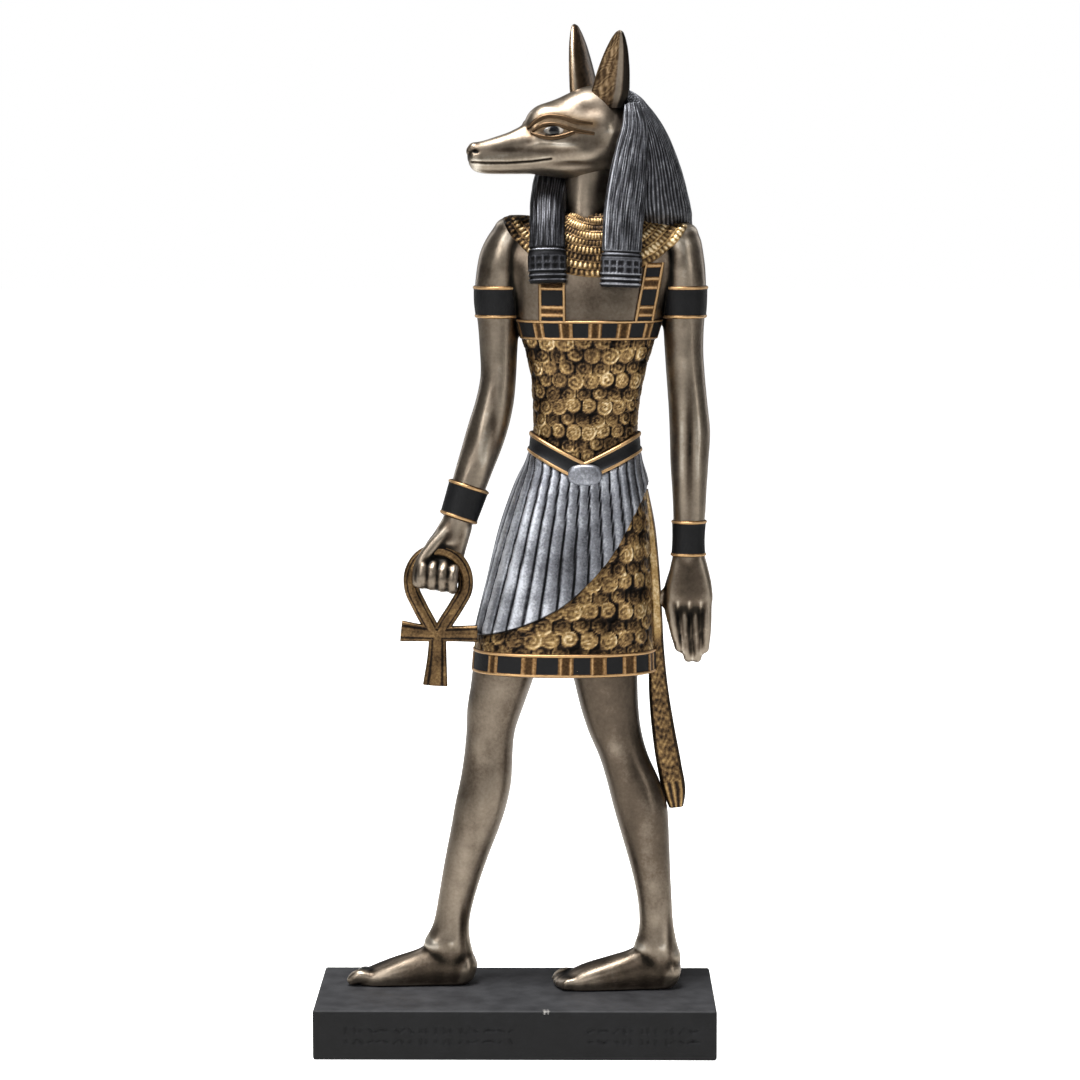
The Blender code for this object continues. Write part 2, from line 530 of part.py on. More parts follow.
def make_belt():
    """A closed band of five-sided section that follows the V."""
    a, b, _ = section(BELT_SIDES, KILT_POWER)
    middle = belt_height(a)
    edges = (
        (-BELT_HALF, BELT_PROUD - BAND_PROUD), (-BELT_HALF, -BELT_ROOT), (BELT_HALF, -BELT_ROOT),
        (BELT_HALF, BELT_PROUD - BAND_PROUD), (0.0, BELT_PROUD),
    )
    rings = np.empty((BELT_SIDES, len(edges), 3))
    for i, (offset, proud) in enumerate(edges):
        height = middle + offset
        x, y, half_x, half_y = level_at(KILT, height)
        rings[:, i] = np.stack([x + (half_x + proud) * a, y + (half_y + proud) * b, height], axis=1)
    add_form("belt", rings, FORMS, closed_loop=True)
    x, z, half_width, half_height = BUCKLE
    y = front_of(KILT, x, z, KILT_POWER) - BELT_PROUD
    side, (face, across, up) = y - BUCKLE_SIDE, BUCKLE_EASE
    rows = [
        (x, y + BUCKLE_ROOT, z, half_width, half_height), (x, side, z, half_width, half_height),
        (x, side - face, z, half_width - across, half_height - up),
    ]
    path_form("buckle", rows, FORMS, X_AXIS, SOFT_BOX, 12)


def make_kilt():
    """The kilt, its hem band, and the pleated wrap that hangs over it from the belt."""
    def pleats(angle, heights):
        return PLEAT_DEPTH * np.cos(WRAP_PLEATS * angle)[None, :] * np.ones((len(heights), 1))

    kilt = column("kilt", KILT, FORMS, KILT_POWER, BELT_SIDES)
    band("hem_band", KILT, *HEM_BAND, BAND_PROUD, FORMS, KILT_POWER, BELT_SIDES)
    low = WRAP_EDGE[0][1] - 2.0
    rows = [(low, *level_at(KILT, low)), *[row for row in KILT if low < row[0]]]
    wrap = column("wrap", rows, FORMS, KILT_POWER, WRAP_PLEATS * 2, WRAP_PROUD, pleats)
    left, right = WRAP_EDGE[0][0] - THROUGH, WRAP_EDGE[-1][0]
    top = BELT_SIDE_HEIGHT + THROUGH
    outline = [*WRAP_EDGE, (right + THROUGH, top), (left, top), (left, WRAP_EDGE[0][1])]
    combine(wrap, "INTERSECT", upright_prism("wrap_limits", outline, HELPERS))
    x, _, half, _ = level_at(KILT, BELT_SIDE_HEIGHT)
    reach = 2.0
    outline = [
        (x - reach * half, belt_height(reach)), (x, BELT_FRONT_HEIGHT),
        (x + reach * half, belt_height(reach)), (x, top),
    ]
    above = upright_prism("above_belt", outline, HELPERS)
    combine(wrap, "DIFFERENCE", above)
    combine(kilt, "DIFFERENCE", above)


def make_collar():
    """The shoulders' own surface, proud of itself inside the collar's oval."""
    collar = column("collar", TORSO[5:], FORMS, TORSO_POWER, TORSO_SIDES, COLLAR_PROUD)
    column("right_shoulder", RIGHT_ARM[:6], SHOULDERS, proud=COLLAR_PROUD, sides=LIMB_SIDES)
    column("left_shoulder", LEFT_ARM[:6], SHOULDERS, proud=COLLAR_PROUD, sides=LIMB_SIDES)
    combine(collar, "UNION", SHOULDERS)
    x, z, half_width, half_height = COLLAR_OVAL
    a, b, _ = section(32, ROUND)
    oval = upright_prism("collar_oval", np.stack([x + half_width * a, z + half_height * b], axis=1), HELPERS)
    combine(collar, "INTERSECT", oval)


def make_arms():
    column("right_arm", RIGHT_ARM, FORMS, sides=LIMB_SIDES)
    column("left_arm", LEFT_ARM, FORMS, sides=LIMB_SIDES)
    band("right_armlet", RIGHT_ARM, *ARMLETS, ARM_BAND_PROUD, FORMS)
    band("left_armlet", LEFT_ARM, *ARMLETS, ARM_BAND_PROUD, FORMS)
    band("left_bracelet", LEFT_ARM, *LEFT_BRACELET, ARM_BAND_PROUD, FORMS)
    rows = []
    for share in (0.0, 1.0):
        start, end = RIGHT_BRACELET
        rows.append([s + (e - s) * share for s, e in zip(start, end)])
    path_form("right_bracelet", rows, FORMS, X_AXIS)


def make_fist():
    """The closed hand round the ankh's loop."""
    path_form("fist_palm", FIST_PALM, FORMS, X_AXIS, SOFT_BOX, 12)
    for i in range(4):
        x = FIST_FINGERS_X + i * FINGER_STEP
        drop = FIST_FINGER_DROP * i
        rows = [(x + dx, y, z - drop, FINGER_RADIUS) for dx, y, z in FIST_FINGER]
        finger(f"fist_finger_{i + 1}", rows, FORMS)
    finger("fist_thumb", FIST_THUMB, FORMS)


def make_open_hand():
    """The hanging hand with its fingers side by side."""
    path_form("open_palm", OPEN_PALM, FORMS, X_AXIS, SOFT_BOX, 12)
    for i, (root, tip, tip_height) in enumerate(OPEN_FINGERS):
        middle = (OPEN_KNUCKLE_HEIGHT + tip_height) / 2
        rows = [
            (root, 0.3, OPEN_KNUCKLE_HEIGHT, OPEN_FINGER_RADIUS),
            (root * 0.65 + tip * 0.35, 0.0, middle, OPEN_FINGER_RADIUS),
            (tip, 0.5, tip_height + 1.2, OPEN_FINGER_RADIUS - 0.3),
        ]
        finger(f"open_finger_{i + 1}", rows, FORMS)
    finger("open_thumb", OPEN_THUMB, FORMS)
    path_form("hand_web", HAND_WEB, FORMS, Z_AXIS, SOFT_BOX, 8)


def make_leg(name, leg, foot, outward):
    """A leg, its foot and its toes. outward is +1 where the little toe lies towards +Y."""
    column(f"{name}_leg", leg, FORMS, sides=LIMB_SIDES)
    path_form(f"{name}_foot", foot, FORMS, Y_AXIS, FOOT_POWER, 12)
    ball_x, ball_y, ball_z = foot[-1][:3]
    for i, (ahead, across, radius) in enumerate(TOES):
        y = ball_y + outward * across
        rows = [
            (ball_x + TOE_ROOT, y, ball_z + 0.9, radius),
            (ball_x - ahead * 0.3, y, radius + 0.3, radius),
            (ball_x - ahead + radius, y, radius * 0.7, radius * 0.85),
        ]
        finger(f"{name}_toe_{i + 1}", rows, FORMS, Y_AXIS)
    x, y, _, half_depth = level_at(leg, ANKLE_HEIGHT)
    for hand, side in ((-1, "near"), (1, "far")):
        rows = [
            (x + 1.0, y + hand * (half_depth + reach), ANKLE_HEIGHT, radius, radius)
            for reach, radius in ((-2.0, ANKLE_RADIUS), (0.2, ANKLE_RADIUS), (0.9, ANKLE_RADIUS * 0.5))
        ]
        path_form(f"{name}_ankle_{side}", rows, FORMS, X_AXIS, ROUND, FINGER_SIDES)


def make_ankh():
    """A loop of ridged bar, a flared crossbar and a flared stem."""
    loop = np.array(LOOP, float)
    tangent = unit(np.roll(loop, -1, axis=0) - np.roll(loop, 1, axis=0))
    a, b, _ = section(8, RIDGED)
    bar = np.empty((len(loop), 8, 3))
    bar[..., 0] = loop[:, None, 0] + tangent[:, None, 1] * LOOP_BAR * a
    bar[..., 1] = ANKH_Y + ANKH_DEPTH * b
    bar[..., 2] = loop[:, None, 1] - tangent[:, None, 0] * LOOP_BAR * a
    add_form("ankh_loop", bar, FORMS, closed_loop=True)
    rows = [(x, ANKH_Y, z, half, ANKH_DEPTH) for x, z, half in CROSSBAR]
    path_form("ankh_crossbar", rows, FORMS, Z_AXIS, RIDGED, 8)
    rows = [(x, ANKH_Y, z, half, ANKH_DEPTH) for z, x, half in STEM]
    path_form("ankh_stem", rows, FORMS, X_AXIS, RIDGED, 8)


def make_ground():
    """The block that levels the soles."""
    bpy.ops.mesh.primitive_cube_add(size=1.0)
    ground = bpy.context.active_object
    ground.name = "ground"
    ground.scale = (2 * FIGURE_HEIGHT, FIGURE_HEIGHT, GROUND_DEPTH * UNIT)
    ground.location.z = -GROUND_DEPTH * UNIT / 2
    bpy.ops.object.transform_apply(location=True, rotation=False, scale=True)
    hide(ground)
    CUTS.objects.link(ground)


def make_figure(bronze):
    """The torso with every other form fused to it, then the cuts and the level soles."""
    figure = column("figure", TORSO, bpy.context.scene.collection, TORSO_POWER, TORSO_SIDES)
    figure.hide_render = False
    figure.display_type = "TEXTURED"
    column("neck", NECK, FORMS)
    make_head()
    make_ear("near_ear", 1, NEAR_EAR_SHARE)
    make_ear("far_ear", -1, 1.0, FAR_EAR_GIRTH)
    make_wig()
    make_collar()
    band("chest_band", TORSO, *CHEST_BAND, BAND_PROUD, FORMS, TORSO_POWER, TORSO_SIDES)
    for i, (top_x, top, end_x, half) in enumerate(STRAPS):
        end = CHEST_BAND[1] - STRAP_TUCK
        shares = np.linspace(0.0, 1.0, 4)
        rows = [(top_x + (end_x - top_x) * t, top + (end - top) * t, half) for t in shares]
        laid_strip(f"strap_{i + 1}", rows, TORSO, TORSO_POWER, STRAP_PROUD, FORMS)
    make_kilt()
    make_belt()
    make_arms()
    make_fist()
    make_open_hand()
    make_leg("front", FRONT_LEG, FRONT_FOOT, 1)
    make_leg("rear", REAR_LEG, REAR_FOOT, -1)
    make_ankh()
    path_form("tail", TAIL, FORMS, X_AXIS, SOFT_BOX, 8)
    make_ground()

    combine(figure, "UNION", FORMS)
    combine(figure, "DIFFERENCE", CUTS)
    trim = figure.modifiers.new("merge_level_faces", "DECIMATE")
    trim.decimate_type = "DISSOLVE"
    trim.angle_limit = LEVEL_WITHIN
    figure.data.materials.append(bronze)
    lift = PLINTH_HEIGHT + SEAT_GAP
    for form in (figure, *FORMS.objects, *CUTS.objects, *HELPERS.objects, *SHOULDERS.objects):
        form.location.z = lift


def make_plinth(paint):
    """A rectangular block with softened edges."""
    bpy.ops.mesh.primitive_cube_add(size=1.0)
    plinth = bpy.context.active_object
    plinth.name = "plinth"
    plinth.scale = (PLINTH_WIDTH, PLINTH_DEPTH, PLINTH_HEIGHT)
    plinth.location.z = PLINTH_HEIGHT / 2
    bpy.ops.object.transform_apply(location=True, rotation=False, scale=True)
    bevel = plinth.modifiers.new("soft_edges", "BEVEL")
    bevel.width = min(PLINTH_CHAMFER, PLINTH_HEIGHT / 4)
    bevel.segments = 1
    plinth.data.materials.append(paint)


def new_group(name):
    group = bpy.data.collections.new(name)
    bpy.context.scene.collection.children.link(group)
    return group


clear_scene()
FORMS = new_group("forms")          # fused to the torso
CUTS = new_group("cuts")            # taken from it
HELPERS = new_group("helpers")      # limits of the wrap and the collar
SHOULDERS = new_group("shoulders")  # what the collar lies on besides the torso
make_figure(metal("cold_cast_bronze", BRONZE_COLOUR, roughness=0.36, metallic=0.9))
make_plinth(metal("black_plinth", BLACK_COLOUR, roughness=0.55, metallic=0.0))
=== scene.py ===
"""Surfaces and finishes of the jackal-headed god statue, laid out as a Blender add-on.

The forms are given in millimetres above the soles of the feet, with x and y as in the row frame.
The chest faces -Y and the figure walks towards -X.
"""

import math

import bpy
import numpy as np
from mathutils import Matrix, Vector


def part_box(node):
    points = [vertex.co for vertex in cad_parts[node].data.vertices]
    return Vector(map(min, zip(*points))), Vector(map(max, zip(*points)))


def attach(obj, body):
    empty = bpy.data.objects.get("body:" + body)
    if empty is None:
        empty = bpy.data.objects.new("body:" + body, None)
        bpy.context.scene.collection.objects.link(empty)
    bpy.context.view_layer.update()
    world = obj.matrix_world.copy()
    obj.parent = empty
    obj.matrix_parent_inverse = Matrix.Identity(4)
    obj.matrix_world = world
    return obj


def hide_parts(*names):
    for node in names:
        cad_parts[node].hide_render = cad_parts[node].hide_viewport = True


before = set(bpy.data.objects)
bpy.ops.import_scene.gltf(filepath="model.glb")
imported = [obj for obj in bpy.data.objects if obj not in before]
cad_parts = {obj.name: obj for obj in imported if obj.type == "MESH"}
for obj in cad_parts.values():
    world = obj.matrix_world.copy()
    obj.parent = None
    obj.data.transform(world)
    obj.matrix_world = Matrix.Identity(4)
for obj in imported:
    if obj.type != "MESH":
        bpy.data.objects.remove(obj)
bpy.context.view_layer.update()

bl_info = {
    "name": "Jackal-headed god statue",
    "version": (1, 0, 0),
    "blender": (4, 5, 0),
    "location": "3D View > Sidebar > Statue",
    "description": "Builds the cast, gilded and silvered surfaces of the statue on its plinth",
    "category": "Object",
}

MM = 0.001
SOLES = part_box("figure")[0].z      # the soles' height above the floor, in metres
PLINTH_LOW, PLINTH_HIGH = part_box("plinth")

# Turn of the head towards the viewer's side, and the point in the neck that it turns about
HEAD_TURN = math.radians(20.0)
HEAD_PIVOT = np.array([22.0, 1.0, 0.0])
HEAD_FORWARD = np.array([-math.cos(HEAD_TURN), -math.sin(HEAD_TURN), 0.0])
HEAD_LEFT = np.array([math.sin(HEAD_TURN), -math.cos(HEAD_TURN), 0.0])
UP = np.array([0.0, 0.0, 1.0])
ALONG_X = (1.0, 0.0, 0.0)          # the way that a section's first radius lies along
ALONG_Y = (0.0, 1.0, 0.0)
ALONG_Z = (0.0, 0.0, 1.0)
DOME_END = 0.08                    # the smallest ring of a finger's end, as a share of its radius

ROUND = 2.0                        # powers of a section's superellipse: an ellipse,
SOFT_BOX = 2.6                     # a rounded box
TORSO_POWER = 2.4
KILT_POWER = 2.3
HEAD_POWER = 2.2
HOOD_POWER = 2.3
FOOT_POWER = 2.3
HEAD_TAPER = 0.22                  # how much narrower the head is at the top

# Columns: height, middle x, middle y, half width along x, half depth along y
TORSO = [
    (147, 19.4, 1.0, 16.0, 10.6), (157, 19.9, 1.0, 15.0, 10.2), (164, 20.1, 1.0, 15.0, 10.0),
    (171, 20.3, 1.0, 15.3, 10.1), (178, 20.7, 1.0, 16.0, 10.6), (185, 20.9, 1.0, 17.5, 11.6),
    (192, 21.1, 1.0, 19.5, 12.2), (201, 21.3, 1.2, 22.0, 12.6), (210, 21.6, 1.4, 25.0, 12.0),
    (217, 21.8, 1.8, 26.6, 10.6), (222, 22.0, 2.0, 25.4, 9.0), (225, 22.0, 2.2, 20.5, 7.8),
    (227, 22.0, 2.2, 12.0, 6.8),
]
NECK = [
    (218, 21.0, 2.0, 9.2, 9.0), (226, 20.6, 2.0, 7.8, 7.8), (234, 20.8, 1.8, 7.2, 7.2),
    (244, 22.5, 1.6, 8.0, 7.6),
]
KILT = [
    (94.6, 14.2, 3.4, 26.6, 16.6), (104, 14.5, 3.1, 26.0, 16.3), (115, 15.4, 2.6, 24.4, 15.6),
    (122, 16.2, 2.3, 23.4, 15.1), (129, 16.8, 2.0, 22.4, 14.5), (136, 17.5, 1.5, 21.4, 13.8),
    (143, 18.3, 1.2, 20.0, 13.0), (150, 19.2, 1.0, 18.2, 12.0), (157, 19.9, 1.0, 15.6, 11.0),
    (164, 20.1, 1.0, 14.7, 10.5),
]
RIGHT_ARM = [
    (226.4, 0.9, 2.0, 2.0, 2.0), (225.4, 0.4, 2.0, 4.2, 4.6), (222.4, -0.8, 2.0, 5.7, 6.6),
    (217, -2.6, 2.0, 7.1, 7.5), (210, -4.0, 2.0, 7.3, 7.5), (202, -4.8, 2.0, 6.9, 7.0),
    (195, -4.9, 2.0, 6.0, 6.3), (188, -4.9, 2.0, 5.5, 6.0), (180, -5.0, 2.0, 5.2, 5.8),
    (173, -6.0, 1.6, 5.6, 5.8), (166, -7.8, 1.2, 6.0, 5.7), (159, -9.9, 0.6, 5.9, 5.4),
    (152, -12.3, -0.2, 5.5, 5.0), (145, -14.6, -1.0, 5.1, 4.4), (138, -16.8, -1.6, 4.6, 3.8),
    (132, -19.2, -2.2, 5.0, 3.4),
]
LEFT_ARM = [
    (225, 46.0, 2.0, 1.6, 1.6), (223.8, 46.0, 2.0, 4.6, 4.6), (220.5, 46.4, 2.0, 6.4, 6.8),
    (215, 47.1, 2.0, 7.0, 7.5), (208, 47.8, 2.0, 7.0, 7.4), (201, 48.2, 2.0, 6.6, 7.0),
    (194, 48.4, 2.0, 5.9, 6.4), (187, 48.6, 2.2, 5.6, 6.2), (180, 49.1, 2.4, 5.6, 6.0),
    (172, 49.8, 2.4, 5.7, 5.9), (164, 50.4, 2.2, 5.9, 5.6), (156, 50.3, 2.0, 5.6, 5.2),
    (148, 50.3, 1.6, 5.1, 4.6), (140, 50.3, 1.2, 4.7, 4.0), (132, 50.1, 0.9, 4.4, 3.6),
    (126, 50.1, 0.8, 4.8, 3.3),
]
FRONT_LEG = [
    (104, -1.5, 5.0, 10.5, 9.0), (96, -3.0, 5.4, 9.6, 8.8), (89.4, -4.4, 5.8, 8.9, 8.4),
    (82.4, -6.2, 6.2, 8.2, 7.6), (75.3, -7.5, 6.4, 7.2, 6.8), (68, -8.2, 6.6, 7.2, 6.6),
    (61, -8.9, 6.6, 7.6, 6.8), (54, -10.3, 6.6, 7.7, 7.0), (46.6, -12.1, 6.6, 7.2, 6.6),
    (39.4, -14.2, 6.6, 6.5, 5.9), (32.2, -16.1, 6.6, 5.9, 5.2), (25, -17.8, 6.6, 5.4, 4.7),
    (18, -19.2, 6.6, 5.4, 4.6), (12, -20.2, 6.6, 6.6, 5.0), (5, -19.8, 6.6, 7.0, 5.2),
]
REAR_LEG = [
    (104, 24.0, 2.5, 11.0, 9.0), (97, 25.4, 2.4, 10.1, 8.8), (90, 26.4, 2.4, 9.2, 8.4),
    (83, 27.4, 2.4, 8.5, 7.7), (76, 29.0, 2.4, 7.8, 7.0), (69, 31.5, 2.4, 7.3, 6.6),
    (61.6, 34.3, 2.4, 7.8, 6.9), (54.5, 36.3, 2.4, 8.0, 7.0), (47.4, 37.6, 2.4, 7.3, 6.6),
    (40.2, 38.8, 2.4, 6.4, 5.9), (33.1, 39.9, 2.4, 5.6, 5.2), (25.9, 40.8, 2.4, 5.1, 4.7),
    (18.8, 41.3, 2.4, 5.1, 4.6), (12, 41.5, 2.4, 6.1, 5.0), (5, 42.0, 2.4, 6.6, 5.2),
]

# Paths: middle x, y, z, half width along the given side, half height across it
FRONT_FOOT = [
    (-12.0, 6.6, 3.2, 2.4, 2.4), (-13.4, 6.6, 3.6, 4.2, 4.0), (-18.0, 6.6, 4.4, 5.2, 6.2),
    (-24.0, 6.6, 4.6, 5.4, 6.6), (-29.0, 6.7, 3.6, 5.7, 6.0), (-34.0, 6.9, 2.8, 6.2, 5.1),
    (-39.0, 7.0, 1.9, 6.5, 4.1), (-43.0, 7.1, 1.2, 6.2, 3.1), (-45.6, 7.1, 0.9, 5.2, 2.2),
]
REAR_FOOT = [
    (48.2, 2.4, 3.2, 2.4, 2.4), (46.8, 2.4, 3.6, 4.2, 4.0), (42.6, 2.4, 4.4, 5.2, 6.4),
    (37.4, 2.4, 4.6, 5.4, 6.8), (32.4, 2.3, 3.8, 5.7, 6.4), (27.0, 2.2, 3.0, 6.2, 5.6),
    (21.6, 2.1, 2.2, 6.5, 4.7), (17.6, 2.0, 1.5, 6.2, 3.7), (15.0, 2.0, 1.1, 5.2, 2.6),
]
# Toes: how far the tip stands ahead of the ball, its place across the foot, its radius
TOES = [(5.0, -4.0, 2.1), (4.7, -1.0, 1.6), (3.9, 1.4, 1.5), (2.9, 3.4, 1.4), (1.7, 5.0, 1.3)]
TOE_ROOT = 3.0
ANKLE_HEIGHT = 12.6
ANKLE_RADIUS = 2.1

# The head along its own forward line: forward, top and bottom height, half width
HEAD = [
    (-13.0, 257.5, 246.0, 5.0), (-10.0, 260.4, 241.0, 8.4), (-6.0, 262.3, 238.4, 10.0),
    (-2.0, 263.1, 237.0, 10.5), (2.0, 262.8, 236.4, 10.3), (6.0, 261.4, 236.6, 9.7),
    (10.0, 259.6, 236.9, 8.8), (13.5, 258.2, 237.4, 7.7), (16.5, 257.0, 237.8, 6.7),
    (18.8, 255.4, 238.0, 5.8), (20.6, 252.7, 238.0, 5.1), (24.0, 250.4, 238.0, 4.4),
    (29.0, 248.6, 238.0, 3.9), (33.0, 247.4, 238.2, 3.5), (35.6, 246.8, 239.0, 3.1),
    (36.8, 246.0, 240.6, 2.4), (37.3, 244.8, 242.6, 1.2),
]
NOSE = [(34.0, 245.2, 1.6), (35.7, 245.1, 1.85), (36.5, 244.5, 1.55)]   # forward, height, radius
MOUTH = [(36.9, 241.4), (33.0, 241.2), (27.0, 241.2), (20.0, 241.6), (14.8, 242.3)]
# Lines of the face as seen from the side: x, height, half thickness
BROW_LINE = [(3.6, 250.9, 0.25), (5.6, 252.6, 0.5), (8.6, 254.0, 0.6), (13.4, 253.9, 0.6),
             (17.7, 252.6, 0.55), (22.1, 252.1, 0.35)]
UPPER_LID = [(5.0, 250.0, 0.2), (7.2, 251.5, 0.4), (10.6, 252.1, 0.45), (14.2, 251.3, 0.45),
             (17.0, 250.3, 0.5), (22.6, 249.3, 0.4)]
LOWER_LID = [(4.6, 249.6, 0.2), (7.2, 248.7, 0.4), (10.6, 248.2, 0.45), (14.0, 248.8, 0.45),
             (17.0, 249.8, 0.4)]
EYE_MIDDLE = (12.0, 250.2)         # x and height
EYE_HALF = (3.8, 1.4)
PUPIL_AHEAD = 0.9                  # how far the pupil stands ahead of the eye's middle
PUPIL_RADIUS = 1.6
# An ear from its root to its tip: left, height, half width, half thickness
EAR = [
    (6.8, 256.6, 4.6, 3.2), (7.4, 261.0, 5.7, 3.1), (8.6, 266.0, 5.3, 2.7),
    (9.9, 271.0, 4.4, 2.3), (11.4, 276.5, 2.9, 1.7), (12.2, 279.4, 1.7, 1.1), (12.6, 280.6, 0.9, 0.7),
    (12.7, 281.0, 0.25, 0.2),
]
EAR_FORWARD = -1.3
EAR_SPLIT = 1.1
EAR_LEAN = 0.045
NEAR_EAR_SHARE = 0.89
FAR_EAR_GIRTH = 1.25
EAR_HOLLOW = 0.6
EAR_OPENING = math.radians(45.0)

# The wig: height, middle x, middle y, half width, half depth
WIG_HOOD = [
    (213, 41.0, 8.5, 10.4, 8.5), (219, 40.4, 8.0, 11.2, 9.5), (224, 39.0, 6.6, 11.8, 10.8),
    (227, 38.6, 4.9, 12.0, 12.3), (232, 38.2, 3.6, 11.3, 12.8), (239, 38.0, 2.8, 9.6, 12.4),
    (246, 37.4, 2.2, 7.6, 11.6), (252, 36.2, 1.8, 5.8, 10.4), (257, 34.2, 1.6, 4.1, 8.2),
    (260.4, 32.6, 1.4, 2.4, 4.8), (261.9, 31.8, 1.2, 0.8, 1.8),
]
# The hair that covers the nape on the far side
WIG_NAPE = [
    (214, 24.0, 9.0, 14.0, 5.2), (222, 24.0, 9.5, 14.5, 6.0), (230, 24.0, 9.0, 13.0, 6.5),
    (238, 25.5, 8.0, 11.0, 6.5), (246, 28.0, 6.5, 8.0, 6.5), (252, 30.5, 5.0, 5.0, 5.0),
]
# Lappets: x, y, z, half width along x, half thickness
LEFT_LAPPET = [
    (33.2, -5.6, 257.5, 2.2, 2.2), (34.0, -7.6, 251, 3.8, 2.8), (33.0, -9.2, 243.5, 4.8, 2.9),
    (32.0, -10.2, 236, 5.4, 2.8), (31.0, -11.2, 228, 5.6, 2.6), (30.4, -12.2, 219, 5.5, 2.4),
    (30.1, -12.9, 212, 5.3, 2.2), (29.9, -13.2, 206.2, 5.2, 2.1),
]
RIGHT_LAPPET = [
    (30.5, 9.2, 255, 2.4, 2.4), (25.5, 11.0, 248, 4.2, 2.8), (17.6, 9.0, 242.5, 4.8, 3.0),
    (11.4, 4.2, 238.2, 5.0, 3.2), (9.6, -2.0, 232, 5.0, 3.0), (9.2, -8.6, 223, 4.9, 2.7),
    (9.2, -12.0, 215, 5.0, 2.3), (9.4, -13.2, 207.3, 4.8, 2.1),
]
# Millimetres above a lappet's end, up to which it bears bars, dark squares and rules
LAPPET_BARS, LAPPET_SQUARES, LAPPET_RULES = 3.8, 7.6, 10.2

# Dress: bands as lowest and highest height
CORSELET = (152.0, 192.5)
KILT_FOOT = 94.9
CHEST_BAND = (191.0, 196.6)
HEM_BAND = (94.3, 101.0)
# Black enamel cells, as x from and to, on the front of a band; gilt bars stand between them
CHEST_CELLS = [(1.9, 5.6), (8.5, 12.8), (16.6, 20.9), (24.6, 28.9), (32.7, 36.4)]
HEM_CELLS = [(-11.7, -7.6), (-4.8, 1.9), (6.2, 12.5), (16.6, 21.5), (26.1, 30.7), (34.7, 38.2)]
COLLAR_OVAL = (23.2, 234.0, 29.0, 25.0)   # middle x, height, half width, half height
COLLAR_PROUD = 0.8
COLLAR_EDGE = 1.03                 # the faces kept reach to this share of the oval
COLLAR_DEEP = 26.0                 # millimetres from the collar's rim to the oval's middle, for its rows
COLLAR_RADIUS = 27.0               # the collar's mean radius, for its beads
BAND_PROUD = 0.65                  # how far a band's gilt stands out
CELL_GAP = 3.2                     # the width of a gilt bar between two cells
# Straps: x at the top, top height, x at the chest band, half width, and their cells' heights
STRAPS = [
    (10.4, 212.0, 10.6, 3.9, [(205.2, 200.9), (197.6, 195.0)]),
    (39.8, 213.0, 36.8, 2.9, [(211.6, 209.0), (205.4, 200.9), (197.6, 195.0)]),
]
ARMLETS = (196.9, 206.1)
LEFT_BRACELET = (128.0, 138.4)
# The right bracelet's two ends: x, y, z, half width, half depth
RIGHT_BRACELET = [(-13.4, -0.6, 148.6, 5.6, 5.0), (-16.6, -1.5, 139.0, 5.1, 4.4)]
# The pleated wrap hangs from the belt down to this edge: x, height
WRAP_EDGE = [
    (-13.6, 105.0), (-8.0, 105.6), (-2.0, 107.3), (7.4, 111.1), (14.0, 115.0), (19.3, 119.7),
    (27.4, 129.2), (33.1, 139.7), (37.2, 148.4), (38.6, 153.0),
]
BELT_SIDE_HEIGHT = 161.4
BELT_FRONT_HEIGHT = 153.4
# The belt's section: height from its middle, and how far it stands out of the kilt
BELT_SECTION = [
    (-2.2, -1.5), (-2.8, -1.0), (-2.95, 0.6), (-2.8, 1.25), (-2.5, 1.45), (-2.1, 1.45), (-1.7, 1.3),
    (-1.4, 1.0), (0.0, 1.05), (1.4, 1.0), (1.7, 1.3), (2.1, 1.45), (2.5, 1.45), (2.8, 1.25),
    (2.95, 0.6), (2.8, -1.0), (2.2, -1.5),
]
BELT_GILT_FROM = 1.9               # the belt is gilt further than this from its middle
BUCKLE = (20.0, 152.6, 4.9, 3.1)   # middle x, height, half width, half height
PLEAT_LEAN = -0.36                 # how far a pleat that starts at x = 0 goes sideways per millimetre
PLEAT_FAN = 0.0165                 # and how that grows with the x where it starts
PLEAT_SPAN = (0.0, 36.0)           # between these x
CHIP = (9.0, 0.9)                  # the chip in the plinth's edge: x and reach
STROKE_GAP = (-1.0, 21.5)          # the part of the plinth's front that bears no strokes, in x

# The fist: its palm, then fingers and thumb, as path rows with a half width and a half height
FIST_PALM = [
    (-16.6, -1.6, 138.0, 4.5, 3.5), (-18.8, -1.9, 133.0, 5.2, 3.2), (-21.0, -2.0, 128.0, 6.2, 3.2),
    (-21.8, -2.6, 123.0, 6.4, 3.0), (-21.8, -3.2, 120.4, 5.4, 2.2),
]
FINGER_STEP = 2.95
FINGER_RADIUS = 1.55
FIST_FINGERS_X = -26.9
FIST_FINGER_DROP = 0.5
FIST_FINGER = [
    (0.6, -5.2, 127.0), (0.2, -7.2, 125.2), (0.0, -7.8, 122.6), (0.0, -6.6, 120.6), (0.0, -4.4, 120.4),
]
FIST_THUMB = [
    (-19.6, -3.6, 136.0, 1.8), (-24.6, -4.8, 130.6, 1.9), (-27.9, -5.8, 125.4, 1.7),
    (-28.6, -5.8, 120.6, 1.3),
]
OPEN_PALM = [
    (50.1, 0.8, 130.0, 4.2, 3.0), (50.3, 0.6, 123.5, 5.8, 3.0), (50.4, 0.4, 118.5, 6.7, 2.8),
    (50.4, 0.3, 114.5, 6.8, 2.4), (50.3, 0.2, 111.6, 6.2, 1.4),
]
